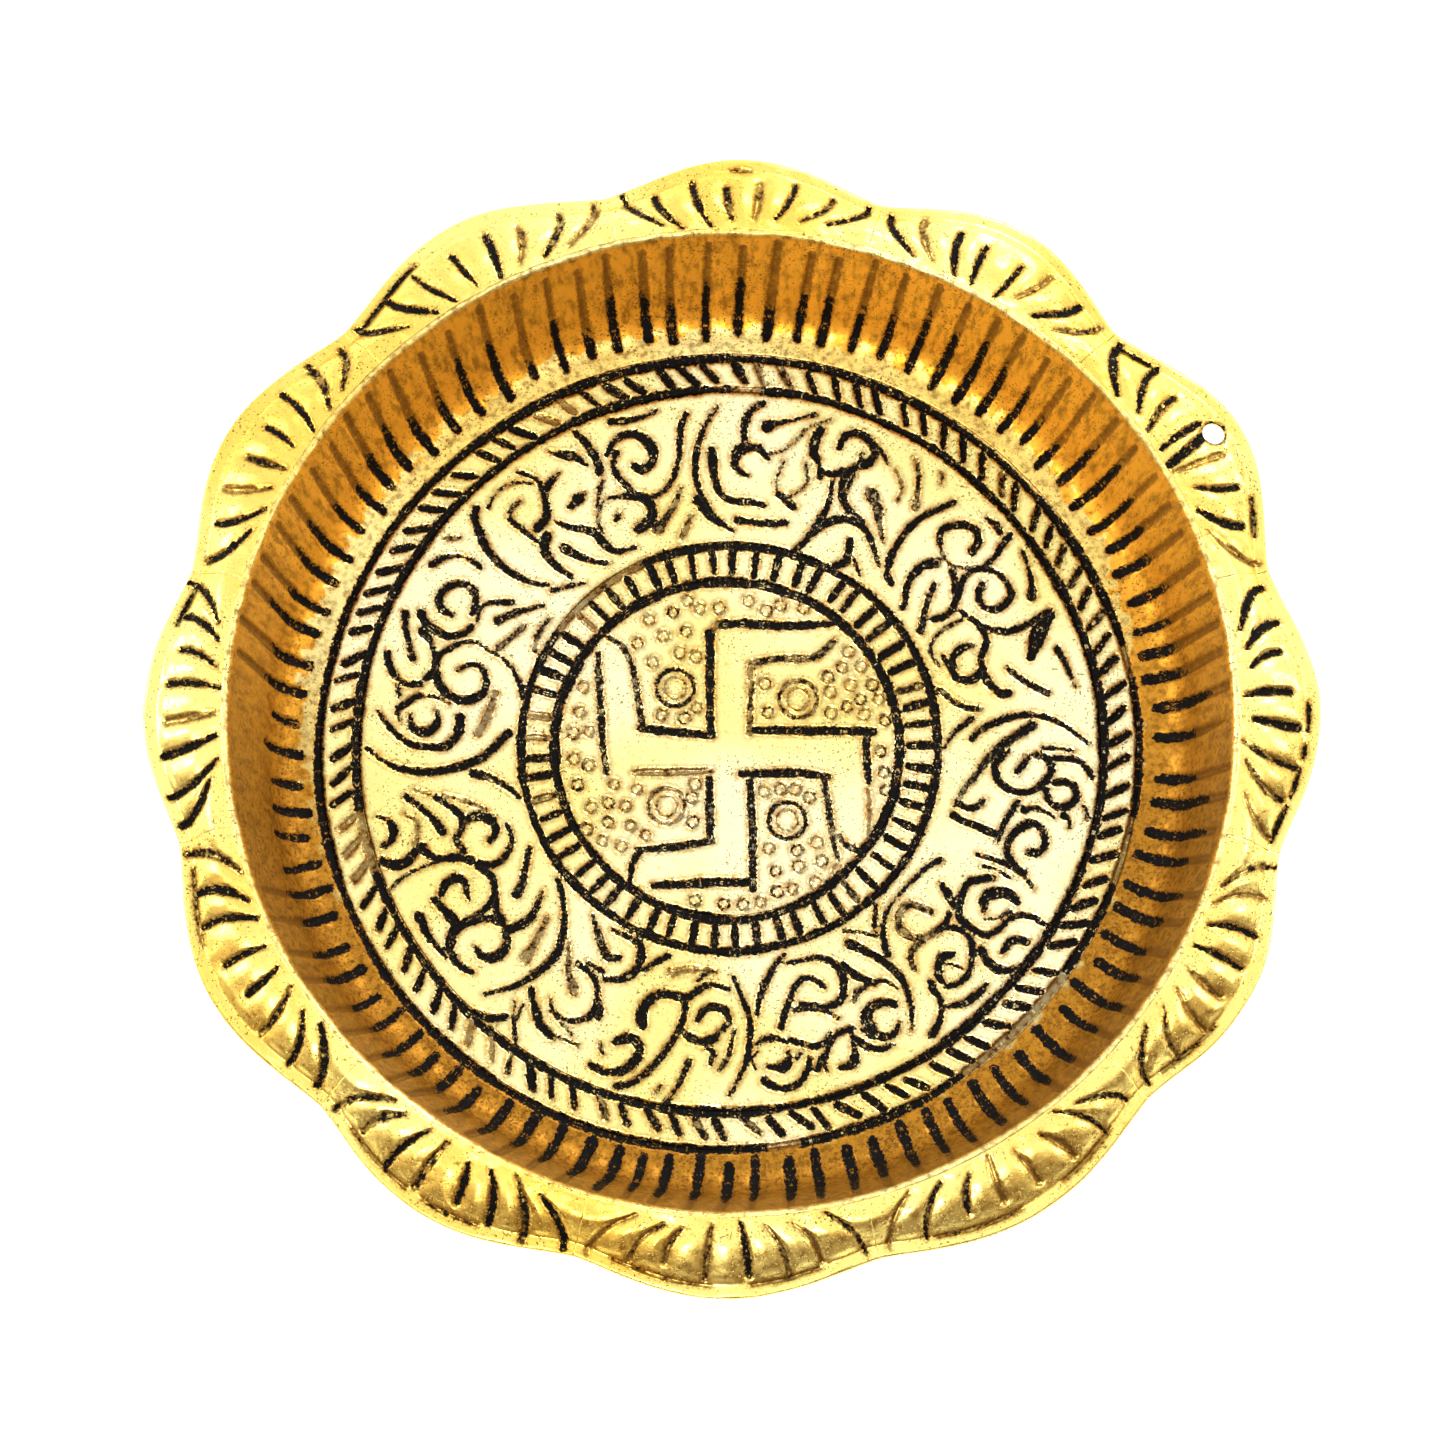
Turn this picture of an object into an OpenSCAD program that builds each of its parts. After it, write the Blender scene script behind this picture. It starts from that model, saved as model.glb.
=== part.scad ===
// Round offering tray of chased sheet brass: a flat decorated floor, a sloping fluted wall and a
// rim of twelve petals that turns down to a flat lip. The sheet is one thickness all over, and
// each node is one zone of it. Zones meet face to face.

/* [Sheet] */
// Thickness of the brass sheet
sheet_t = 0.8; // [0.6:0.05:1.2]
// Height that the chased ring lines stand below the underside, on which the tray rests
bead_h = 0.3; // [0.2:0.05:0.4]
// Depth of the chased strokes in the upper face
chase_d = 0.3; // [0.15:0.05:0.35]
// Width of the chased strokes
chase_w = 1.1; // [0.8:0.1:1.4]

/* [Floor] */
// Radius of the plain ring line around the medallion
medallion_r = 22.8; // [21:0.1:24]
// Radius of the ring line outside the inner band
inner_band_r = 27.8; // [26.5:0.1:29]
// Radius of the ring line inside the outer band
scroll_r = 48.8; // [47:0.1:50]
// Radius of the ring line at the foot of the wall
floor_r = 53.9; // [52.5:0.1:55]

/* [Wall] */
// Height of the crest's upper face above the floor's upper face
well_depth = 17; // [12:0.5:22]
// Radius of the crest, where the wall turns over into the rim
crest_r = 65.8; // [64:0.1:67]
// Radius of the fillet between floor and wall
foot_fillet = 5; // [3:0.5:6]
// Number of flutes around the wall
wall_flutes = 93; // [60:1:100]

/* [Rim] */
// Radius to the tip of each petal
tip_r = 76.3; // [75:0.1:79]
// Radius to the notch between two petals
notch_r = 72.9; // [72.6:0.1:74]
// Number of petals
petals = 12; // [10:1:14]
// Direction of the first notch, in degrees from +X
notch_turn = 16; // [0:1:29]
// Drop from the crest to the flat lip
lip_drop = 3.2; // [2:0.1:5]
// Radius at which the flat lip starts
lip_r = 72.2; // [71:0.1:72.4]
// Strokes that fan out over each petal
petal_strokes = 7; // [3:2:9]
// Diameter of the hanging hole
hole_d = 3; // [2:0.1:3.4]

/* [Hidden] */
petal_names = [for (i = [1:petals]) str("petal_", i < 10 ? "0" : "", i)];
$fn = 96;

under_z = bead_h;                  // underside of the flat sheet
floor_z = under_z + sheet_t;       // upper face of the floor
crest_z = floor_z + well_depth;    // upper face of the crest
lip_z = crest_z - lip_drop;        // upper face of the lip
bead_w = 0.6;                      // half width of a ring line at the face
bead_flat = 0.3;                   // half width of its flat bottom
over = 2;                          // how far a cutter runs past the face it cuts

inner_ticks = 57;
outer_ticks = 98;
tick_lean = 22;                    // lean of the outer band's ticks, in degrees
scroll_cells = 9;

// The wall's straight stretch: tangent to the foot fillet at one end and to the crest's roll
// at the other. Both arcs sweep the wall's slope angle.
crest_roll = 1.2;
foot_x = floor_r + 1.6;            // where the fillet leaves the flat floor
run = crest_r - foot_x;
// The fillet and the roll each use up a tangent of their radius times tan(slope / 2).
function slope_gap(a) = (run - (foot_fillet + crest_roll) * tan(a / 2)) * sin(a)
    - well_depth * cos(a);
function solve_slope(lo, hi, n) = n == 0 ? (lo + hi) / 2
    : let (mid = (lo + hi) / 2) slope_gap(mid) < 0 ? solve_slope(mid, hi, n - 1)
    : solve_slope(lo, mid, n - 1);
wall_slope = solve_slope(40, 85, 24);

lip_slope = atan(lip_drop / (lip_r - crest_r));   // slope of the petals' upper face

// Points of an arc about [x, z], from one angle to another.
function arc(x, z, r, from, to, n) = [for (i = [0:n])
    let (a = from + (to - from) * i / n) [x + r * cos(a), z + r * sin(a)]];

// Half of a ring line's trough, seen in section: side is +1 for the half outside the line.
function trough(r, side) = side > 0
    ? [[r, floor_z - chase_d], [r + bead_flat, floor_z - chase_d], [r + bead_w, floor_z]]
    : [[r - bead_w, floor_z], [r - bead_flat, floor_z - chase_d], [r, floor_z - chase_d]];
function bead(r, side) = side > 0
    ? [[r + bead_w + 0.2, under_z], [r + bead_flat + 0.1, 0], [r, 0]]
    : [[r, 0], [r - bead_flat - 0.1, 0], [r - bead_w - 0.2, under_z]];

// A flat ring of sheet between two ring lines.
module flat_zone(inner, outer) {
    rotate_extrude()
        polygon(concat(
            inner > 0 ? trough(inner, 1) : [[0, floor_z]],
            trough(outer, -1),
            bead(outer, -1),
            inner > 0 ? bead(inner, 1) : [[0, under_z]]));
}

// A straight chased stroke between two points of the floor, as the tool that cuts it.
module stroke(a, b, w = chase_w) {
    d = b - a;
    translate([a.x, a.y, floor_z - chase_d])
        rotate([0, 0, atan2(d.y, d.x)])
            translate([-w / 2, -w / 2, 0])
                cube([norm(d) + w, w, chase_d + over]);
}

// A punched ring on the floor, as the tool that cuts it.
module ring_punch(at, r, w = 0.7) {
    translate([at.x, at.y, floor_z - chase_d])
        difference() {
            cylinder(r = r + w / 2, h = chase_d + over);
            translate([0, 0, -over])
                cylinder(r = r - w / 2, h = chase_d + 3 * over);
        }
}

// An arc chased on the floor about [x, y].
module arc_stroke(at, r, from, sweep, w = chase_w) {
    translate([at.x, at.y, floor_z - chase_d])
        rotate([0, 0, from])
            rotate_extrude(angle = sweep)
                translate([r - w / 2, 0])
                    square([w, chase_d + over]);
}

arm = 17.2;                        // reach of the swastik's arms from the centre
half_bar = 2.8;                    // half width of its bars
foot = 13.2;                       // how far each arm's foot runs sideways
dot_at = [7.9, 7.4];               // centre of the dot in the first quarter
dot_r = 2.4;

// The Hindu swastik with a dot in each quarter, outlined by chased strokes. One arm's outline
// is repeated four times about the centre.
module swastik_outline() {
    for (turn = [0:90:270])
        rotate([0, 0, turn]) {
            stroke([-half_bar, half_bar], [-half_bar, arm]);
            stroke([-half_bar, arm], [foot, arm]);
            stroke([half_bar, arm - 2 * half_bar], [foot - 2, arm - 2 * half_bar]);
            stroke([half_bar, half_bar], [half_bar, arm - 2 * half_bar]);
            ring_punch(dot_at, dot_r);
        }
}

module medallion() {
    color("gold")
        difference() {
            flat_zone(0, medallion_r);
            swastik_outline();
        }
}

// A ring of short ticks between two radii, leaning by an angle.
module ticks(count, inner, outer, lean) {
    mid = (inner + outer) / 2;
    long = (outer - inner) / 2 - 1.3;
    for (i = [0:count - 1])
        rotate([0, 0, 360 * i / count])
            translate([mid, 0, 0])
                rotate([0, 0, lean])
                    stroke([-long, 0], [long, 0], chase_w);
}

module inner_band() {
    color("gold")
        difference() {
            flat_zone(medallion_r, inner_band_r);
            ticks(inner_ticks, medallion_r, inner_band_r, 0);
        }
}

// One cell of the scrollwork: a big curling stem that encloses three volutes.
module scroll_cell() {
    arc_stroke([36.5, -4.5], 9.2, 40, 110);
    ring_punch([42.5, -3], 2.6, 0.9);
    ring_punch([36.2, -1.2], 2.4, 0.9);
    ring_punch([38.5, -8.2], 2.2, 0.9);
    stroke([33, 6.4], [38, 9.4], 0.9);
}

module scroll_field() {
    color("gold")
        difference() {
            flat_zone(inner_band_r, scroll_r);
            for (i = [0:scroll_cells - 1])
                rotate([0, 0, 360 * i / scroll_cells])
                    scroll_cell();
        }
}

module outer_band() {
    color("gold")
        difference() {
            flat_zone(scroll_r, floor_r);
            ticks(outer_ticks, scroll_r, floor_r, tick_lean);
        }
}

// Upper face of the wall in section, from the foot's ring line to the crest.
wall_steps = 6;
function wall_line(t) = concat(
    arc(foot_x, floor_z + foot_fillet, foot_fillet + t, -90, wall_slope - 90, wall_steps),
    arc(crest_r, crest_z - crest_roll, crest_roll - t, 90 + wall_slope, 90, wall_steps));

// A shallow flute down the wall's straight stretch, as a bar laid along the slope.
flute_from = 0.1;                  // where a flute starts and ends, as a share of the stretch
flute_to = 0.86;
module wall_flute() {
    low = wall_line(0)[wall_steps];
    high = wall_line(0)[wall_steps + 1];
    a = low + (high - low) * flute_from;
    long = norm(high - low) * (flute_to - flute_from);
    translate([a.x, 0, a.y])
        rotate([0, -wall_slope, 0])
            translate([0, -chase_w / 2, -chase_d])
                cube([long, chase_w, chase_d + over]);
}

module wall() {
    upper = wall_line(0);
    lower = wall_line(sheet_t);
    color("darkgoldenrod")
        difference() {
            rotate_extrude()
                polygon(concat(
                    trough(floor_r, 1),
                    upper,
                    [for (i = [len(lower) - 1:-1:0]) lower[i]],
                    bead(floor_r, 1)));
            for (i = [0:wall_flutes - 1])
                rotate([0, 0, 360 * (i + 0.5) / wall_flutes])
                    wall_flute();
        }
}

// The outer edge of a petal is an arc through its tip and its two notches.
half_petal = 180 / petals;
chord_r = notch_r * cos(half_petal);
chord_half = notch_r * sin(half_petal);
sagitta = tip_r - chord_r;
petal_r = (pow(chord_half, 2) + pow(sagitta, 2)) / (2 * sagitta);

// Upper face of a petal in section: down the slope from the crest, then flat.
function petal_line(t) = [[crest_r, crest_z - t], [lip_r, lip_z - t], [tip_r + over, lip_z - t]];

// The hanging hole, in the lip of the first petal.
hole_r = 74.05;
hole_turn = 31.4;

// A stroke down a petal's slope, as a bar laid along it from near the crest.
petal_gap = 3.5;                   // angle between a petal's strokes, in degrees
module petal_stroke() {
    translate([crest_r + 1, 0, crest_z - tan(lip_slope)])
        rotate([0, lip_slope, 0])
            translate([0, -chase_w / 2, -chase_d])
                cube([(lip_r - crest_r) * 0.75, chase_w, chase_d + over]);
}

// One petal of the rim, between two notches. The hole goes through the first.
module petal(i) {
    upper = petal_line(0);
    lower = petal_line(sheet_t);
    middle = notch_turn + half_petal * (2 * i + 1);
    color("gold")
        difference() {
            intersection() {
                rotate([0, 0, middle - half_petal])
                    rotate_extrude(angle = 2 * half_petal)
                        polygon(concat(upper, [for (k = [len(lower) - 1:-1:0]) lower[k]]));
                rotate([0, 0, middle])
                    translate([tip_r - petal_r, 0, lip_z - lip_drop])
                        cylinder(r = petal_r, h = 3 * lip_drop);
            }
            for (k = [-(petal_strokes - 1) / 2:(petal_strokes - 1) / 2])
                rotate([0, 0, middle + k * petal_gap])
                    petal_stroke();
            if (i == 0)
                rotate([0, 0, hole_turn])
                    translate([hole_r, 0, lip_z - sheet_t - over])
                        cylinder(d = hole_d, h = sheet_t + 2 * over);
        }
}

medallion();
inner_band();
scroll_field();
outer_band();
wall();
for (i = [0:petals - 1])
    petal(i);
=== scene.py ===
import math

import bpy
import numpy as np
from mathutils import Matrix, Vector


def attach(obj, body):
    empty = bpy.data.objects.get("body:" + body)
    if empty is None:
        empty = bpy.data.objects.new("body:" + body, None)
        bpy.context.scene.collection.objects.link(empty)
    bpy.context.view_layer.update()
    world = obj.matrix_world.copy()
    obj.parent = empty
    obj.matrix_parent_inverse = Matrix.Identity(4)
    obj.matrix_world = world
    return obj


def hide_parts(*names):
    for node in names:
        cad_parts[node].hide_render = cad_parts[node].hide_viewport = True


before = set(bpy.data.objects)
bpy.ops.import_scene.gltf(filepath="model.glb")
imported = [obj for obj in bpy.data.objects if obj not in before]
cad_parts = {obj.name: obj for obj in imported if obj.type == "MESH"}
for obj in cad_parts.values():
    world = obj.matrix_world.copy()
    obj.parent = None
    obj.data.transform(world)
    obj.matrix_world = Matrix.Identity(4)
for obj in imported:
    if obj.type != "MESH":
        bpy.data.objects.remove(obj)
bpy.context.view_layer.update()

# Lengths are in millimetres up to the point where a mesh is made; angles are in degrees.
# +X is to the right of the medallion, +Y towards its top, and z is 0 under the ring lines.
SHEET = 0.8
UNDER = 0.3   # underside of the floor, above the ring lines' beads
FLOOR = UNDER + SHEET
CREST = 18.1
LIP = 14.9
MEDALLION_R = 22.8
INNER_R = 27.8
SCROLL_R = 48.8
FOOT_R = 53.9
CREST_R = 65.8
FAR = 3.0     # farthest that a stroke is felt
FLOOR_CUT = 0.36
WALL_CUT = 0.34
PETAL_CUT = 0.32

# Strokes of the scrollwork as drawn, one list for each ninth of the field, under the
# direction of its middle line. A stroke is start width, middle width, end width, wear, then
# its points: each is a distance clockwise from that line and one out from the centre.
SCROLL = {
    0: [
        [1.1, 0.7, 0.35, 0, -13.2, 43.3, -12, 44, -10.5, 44.6, -8.1, 45.6],
        [0.8, 0.9, 0.8, 0.4, -7.2, 41.9, -8.2, 40, -9.5, 38, -10.6, 36.7],
        [0.9, 1, 1.3, 0, -17.4, 31.9, -16.2, 33.2, -14.3, 33.9, -12.4, 33.3, -10.4, 33.3, -8.5, 34.3,
         -7.2, 35.7, -7.2, 36.6],
        [0.7, 1.1, 1, 0.1, -12.2, 28.2, -10.8, 29, -9.4, 29.9, -8.9, 31.2, -9.3, 32.4, -10.4, 33.3],
        [0.9, 1, 0.9, 0.2, -13.7, 31.8, -13.2, 30.4, -12, 29.4, -10.8, 29.6],
        [0.7, 0.8, 0.8, 0.4, -5, 32.8, -5.3, 31, -6.3, 29.2, -7.8, 27.5],
        [0.8, 0.6, 0.3, 0, -3.8, 31.9, -2.6, 30.4, -1.2, 29, 0.2, 28.2],
        [0.3, 0.9, 0.9, 0.1, -0.4, 47.2, -2.2, 45, -3.5, 42.8, -4.2, 40.2, -4.2, 38.5, -3.8, 36.5,
         -3, 34.5, -2.2, 33, -1, 31.8],
        [1.2, 1, 0.5, 0.4, -2.8, 39.8, -1.6, 38, -0.3, 36, 1.8, 33.8, 4, 32.3, 5.5, 31, 8, 29.5],
        [0.5, 1, 0.7, 0.3, 7.2, 33.4, 8.2, 32.4, 8.4, 31.4, 7.8, 30.2],
        [1.2, 0.9, 1, 0.2, 11.9, 35, 11.3, 33.5, 10.6, 32, 9.9, 30.2, 9.2, 29.4],
        [0.8, 0.9, 0.7, 0.1, 1.6, 42.6, 1.6, 44.5, 2, 46, 3, 47, 4.2, 47.5],
        [0.6, 0.6, 0.4, 0.1, 0.2, 41.2, 0.3, 43, 0.6, 45.2],
        [1, 0.9, 1.1, 0.1, 1.2, 40.3, 1.6, 41.6, 3.2, 42.3, 4.8, 41.3, 6, 39.8, 6.2, 38.2, 5.6, 36.2,
         4.2, 35, 2.4, 34.9, 0.8, 36.2],
        [0.8, 1, 0.8, 0.1, 1.4, 39.2, 2.3, 38.7, 3.5, 37.7],
        [1, 1.1, 0.9, 0, 4.9, 42.9, 4.8, 44.2, 5.6, 45.3, 7, 45.5, 8.1, 44.2, 8.1, 42.6, 7, 41.7,
         5.8, 41.5],
        [0.9, 0.5, 0.2, 0, 9.3, 43.8, 10, 44.6, 11, 44.4],
        [0.3, 0.5, 0.5, 0, 8, 46.3, 9, 46.9, 10, 46.9],
        [0.3, 0.6, 1, 0, 9.6, 42.6, 8.8, 41.3, 8.3, 40, 8.6, 38.6],
        [0.9, 1.1, 0.8, 0, 14.3, 39.1, 14.3, 40.5, 13.2, 41.3, 11.6, 41.1, 10.4, 40, 10.7, 38.6,
         12, 37, 13.8, 36.3, 15.6, 37, 17.2, 38.6],
        [0.7, 0.8, 0.7, 0.1, 7.5, 37.8, 9.5, 36.5, 11, 35.7, 12.7, 35.1],
    ],
    40: [
        [0.5, 0.7, 0.9, 0.6, -14.3, 44.2, -12.5, 43.2, -11, 41.8, -9.2, 39.8],
        [1.6, 1.2, 0.3, 0.6, -14.5, 36.6, -12.5, 36, -10.5, 34.8, -8.3, 33.4],
        [0.5, 0.6, 0.4, 0.3, -17.8, 36.5, -16.8, 34.2, -15.2, 33.1, -12, 33.4],
        [0.8, 1.2, 0.5, 0.3, -15.2, 26.8, -15.2, 28.5, -14.7, 30.6, -13.2, 32.3, -11, 32.8,
         -8.8, 32.1, -6.2, 31],
        [0.9, 1.1, 1, 0.1, -11.3, 30.2, -10.3, 29.2, -9.5, 28, -9.8, 26.6],
        [0.4, 0.5, 0.2, 0.2, -9, 29, -6.9, 28.2],
        [0.8, 1, 0.9, 0, -6.4, 44.2, -7, 42, -7.6, 39.5, -7.5, 37, -6.8, 34.5, -5.8, 32.5, -4.5, 31,
         -3.3, 30.6],
        [0.5, 0.5, 0.3, 0.8, -10.5, 45.6, -9.3, 44.4],
        [1, 1.1, 0.9, 0.1, 0.2, 41.6, -0.2, 43.2, -1.8, 43.9, -3.3, 43.2, -4.2, 41.8, -4.5, 40.3,
         -3.3, 39.1],
        [0.3, 0.3, 0.3, 0.5, -3.3, 39.1, -2, 38.4, -0.5, 38.2, 1.2, 39.2, 2, 40.4],
        [0.3, 1, 0.8, 0.1, -2.2, 46.2, -0.5, 46.5, 0.8, 46.2],
        [1.1, 0.9, 0.6, 0.1, 1.8, 46.8, 2.2, 45, 2.8, 43.5, 2.8, 42],
        [0.6, 1.1, 0.9, 0.1, 2.9, 41.5, 4.8, 42.3, 6.5, 42.4, 8.1, 41.8, 8.5, 40.2, 8.3, 38.9, 7, 38,
         5.4, 38.3, 4.5, 39.8],
        [0.8, 1, 0.9, 0.1, 3.2, 41.5, 2.3, 40.2, 2.4, 38.3, 3.4, 36.6, 4.5, 34.8, 4.7, 33.2, 4.1, 31.8],
        [0.5, 0.9, 0.8, 0.1, 5.2, 35.2, 7.5, 35.6, 9.8, 36.6, 11.6, 38.2, 12.4, 40, 12.8, 42.5,
         13, 44.3],
        [0.9, 1, 0.6, 0.1, 0.7, 37.8, 2, 37.2, 3, 36],
        [0.6, 0.6, 1.4, 0.1, 4.5, 46.9, 6.5, 46, 8.5, 45, 10, 43.7],
        [1, 2.4, 1, 0, 13.6, 44, 14, 42, 14.8, 40.5, 16.2, 38.2],
        [1.3, 1.1, 0.8, 0.1, -1.6, 37, -2.4, 35.5, -2.3, 33.5, -1.5, 31.8, -0.5, 30.8, 0.2, 29.7],
        [1, 0.9, 0.9, 0.4, 0.6, 34.8, 1.5, 33, 2.8, 31.2, 4.2, 29.3],
        [0.3, 0.3, 0.3, 0.4, 6.5, 34.5, 6, 32, 6.3, 29.6, 7.5, 28.4, 9.5, 28],
    ],
    80: [
        [0.9, 1.3, 0.8, 0, -17.6, 31.4, -16.2, 30.7, -15.5, 29.3, -16, 27.8, -17.2, 26.9],
        [0.5, 0.7, 1.2, 0.5, -12.5, 33.5, -13, 31.5, -13.6, 29.5, -14.4, 27.6],
        [0.5, 0.9, 0.6, 0.8, -10.6, 30, -10.8, 28.5, -11.3, 26.8],
        [0.3, 1, 0.3, 0, -9.6, 45.8, -10.6, 43.5, -11.2, 41, -11.4, 39, -11.1, 36.5, -10.4, 34.5,
         -9.7, 33.2, -9, 32.4, -8, 31.2, -7, 30.2],
        [1.3, 1, 0.8, 0.1, -9.4, 39.5, -8.9, 37.5, -8.2, 35.5, -7.2, 33.8, -5.5, 33.1, -3.2, 33.4,
         -1.3, 33.3],
        [1.2, 0.8, 0.5, 0, -10, 32.5, -9.2, 31.5, -8, 30.4, -6.5, 29.7, -4.7, 29.1],
        [0.5, 1.5, 1, 0, -4.1, 37, -5.3, 37.3, -6.1, 38.5, -6, 39.9, -4.8, 40.7, -3.4, 41.1],
        [0.8, 1, 0.9, 0.2, -3.8, 47.1, -5.2, 45.8, -5.7, 43.8, -5.5, 42.2, -4.9, 41],
        [0.9, 0.9, 0.7, 0.1, -4.5, 41, -3, 40.6, -1.9, 39.7],
        [1.5, 0.5, 0.6, 0.1, -2.7, 44, -1.8, 44.6, -0.3, 45.2, 1.5, 46, 3.4, 46.8],
        [0.3, 0.4, 0.4, 0.5, -1.8, 40.4, 0, 41.2, 1.5, 43, 3, 45, 5.5, 46.4],
        [1.3, 1.5, 1, 0, 4.3, 44.7, 3.9, 43, 4, 41.5, 4.8, 40.5],
        [0.3, 0.4, 0.8, 0.3, 4.8, 40.5, 5.4, 38.3],
        [0.7, 0.9, 0.8, 0.1, 5.5, 39.2, 7.2, 39, 8.5, 39.8],
        [1, 1.2, 0.9, 0, 7.2, 42.8, 7.6, 44.3, 9.2, 45.2, 11, 44.5, 12, 43, 11.4, 41.4, 9.8, 40.5,
         8.7, 39.2, 8.5, 37.2, 9.2, 35.3, 10.3, 34.4],
        [0.4, 0.6, 0.4, 0.1, 10.5, 42.6, 10, 41.4],
        [0.5, 1.2, 0.8, 0.2, 7.1, 38, 7.2, 36, 7, 34.2, 6.2, 32, 5.2, 29.8, 3.8, 27.9],
        [0.5, 0.5, 0.3, 0.1, 12, 44.2, 13, 43, 14, 41.7],
        [0.5, 0.5, 0.5, 0.8, 15.2, 41, 16.4, 38.8, 16, 36.8],
        [0.3, 0.35, 0.3, 0.5, 0.3, 39.6, -0.2, 37.2, 0.2, 35.4, 1.6, 34.9, 3, 36, 3.9, 37.4, 3.2, 39.8],
        [0.9, 0.9, 1.1, 0, 0.3, 35.2, 1.5, 34.3, 2.6, 33.8],
        [1, 0.9, 1, 0.2, -4.3, 30.6, -2, 30.6, 0, 30.9, 2, 31.3],
    ],
    120: [
        [1, 1.2, 0.3, 0, -12.9, 44.9, -13.8, 43.8, -14.2, 41.5, -14.4, 39, -13.9, 36.5, -13.2, 34.8,
         -11.8, 32.6, -9.8, 31],
        [0.5, 0.7, 0.4, 0.2, -10, 30, -8, 29.6, -5.5, 28.8],
        [0.5, 0.9, 0.6, 0.3, -7.3, 42.9, -8.8, 42.6, -9.7, 41.4, -9.2, 39.8, -8.6, 38.2, -8.2, 37],
        [1.3, 1, 0.4, 0.1, -7.3, 38.5, -5.5, 39.2, -4.7, 40.6, -4.2, 42.2, -3.9, 44, -4.5, 45.4,
         -5.6, 46.6],
        [0.3, 0.4, 0.3, 0.3, -11.5, 44.2, -10, 45.3, -8, 45.7, -6, 45.2, -4.8, 44.3],
        [1.2, 0.8, 0.4, 0, -3.4, 42.8, -2.2, 43.4, -1, 43.8],
        [0.8, 1.5, 0.6, 0, -2, 38.9, -0.8, 39.2, 0.6, 39.7],
        [1.3, 1.1, 0.7, 0.1, -6.5, 37, -7.7, 35.8, -8, 34, -7.5, 32.3, -6.6, 30.6],
        [1.4, 1, 0.4, 0.2, -5.5, 34.3, -4.5, 32.6, -3.2, 31, -1.3, 29.5],
        [0.6, 1.2, 0.5, 0.1, -4.6, 38, -3.3, 36.4, -1.8, 35.2, -0.8, 33.8, -0.6, 32, 0.3, 30.5,
         2.8, 29.8],
        [1.2, 1.3, 0.4, 0.1, 4.3, 31.8, 6.2, 32.2, 7.4, 33.6, 7.2, 35, 6, 36, 4.5, 36.8, 2.6, 37.5],
        [0.3, 0.35, 0.3, 0.4, 0, 33.8, 0.4, 35.8, 2, 37.3],
        [0.6, 0.8, 0.5, 0.2, 2.3, 34.3, 3.3, 34.9],
        [0.4, 1.4, 0.4, 0, -0.6, 47, 0.6, 45.8, 1.9, 44.7, 2.8, 42.8],
        [0.8, 1.1, 1.1, 0.1, 3.6, 47.7, 4.1, 46, 4.3, 44, 4.2, 42.2, 3.7, 41.1],
        [0.7, 0.7, 0.5, 0.6, 3.6, 39.9, 2.3, 38.7, 1, 37],
        [1, 1.4, 0.5, 0, 8.2, 39.6, 8.8, 38.6, 10.4, 38.8, 11.4, 40.1, 11.3, 41.8, 10.3, 43.4,
         8.6, 44, 7, 43.6, 5.8, 42.7],
        [0.9, 0.7, 0.9, 0.2, 7.1, 42.3, 6, 41.4, 5.6, 39.6, 5.9, 37.9, 6.6, 35.8, 8, 34.7, 9.8, 34.6,
         11.6, 35.4, 13.6, 37.2, 15, 39.3, 16.4, 41.3, 17.8, 42.4],
        [1, 0.8, 0.4, 0.1, 8.5, 46.5, 10, 45.7, 12, 45, 14.5, 44.7],
        [1.2, 0.9, 0.5, 0.6, 6.4, 30.5, 8.2, 31.2, 10.3, 32.4, 12, 33.8],
        [0.7, 0.7, 0.4, 0.3, 12.8, 31.3, 13.4, 29, 14.5, 27],
        [0.4, 0.6, 0.5, 0.6, 8.5, 28, 10, 29, 11.5, 29.8],
        [0.5, 0.6, 0.5, 0.7, -17.9, 40.3, -17.2, 39, -16.4, 37.5],
    ],
    160: [
        [0.6, 1.1, 1.1, 0, -16.6, 44.8, -17.5, 42, -17.7, 39.5, -17, 36.5, -15.8, 34, -14, 31.5,
         -12, 29.7, -8.3, 28],
        [0.7, 0.9, 1.4, 0.1, -11.4, 45.2, -12.7, 43.3, -13.7, 41.3, -14.1, 39, -13.4, 36.4,
         -13, 35.3, -11.8, 34.5, -10.2, 34.2, -8.6, 34.7],
        [0.5, 1.5, 0.4, 0, -10.4, 41, -11.8, 40.3, -12.1, 39, -11.4, 37.7, -9.9, 37.3, -8.5, 38.2],
        [0.4, 0.8, 1, 0, -11.7, 41.8, -10.6, 42.8, -9.2, 42.1, -7.9, 41.3, -7.4, 40.6],
        [0.4, 0.4, 0.3, 0.2, -7.4, 40.6, -7, 38.5, -7.3, 36.8],
        [0.4, 0.5, 0.3, 0.1, -7.2, 44, -8.5, 43.2],
        [1, 1, 0.9, 0.2, -3.6, 46.8, -5, 46, -6.2, 44.6, -6.6, 42.8, -6.1, 41.3],
        [1.1, 0.6, 1, 0, 2.4, 46.6, 0.5, 45.8, -1.2, 44.7, -3.1, 43.4],
        [1, 0.6, 0.9, 0.2, 0.8, 43.6, -0.2, 42, -1.6, 40.9, -3.8, 40.3, -5, 40.8],
        [0.6, 1.3, 0.5, 0.1, -2.6, 37.3, -1.5, 36.3, -1.1, 34.9, -1.9, 33.6, -3.6, 33, -5.2, 33.5,
         -6.1, 35, -6.2, 37, -5.2, 38.8, -3.6, 39.9, -1.6, 40.2, 0.2, 39, 1.4, 37.6, 1.9, 36.2],
        [0.4, 0.5, 0.9, 0.2, 1.6, 35.6, 1, 32.8, 0.2, 30.8, -1.2, 29.2, -3, 27.9],
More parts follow.
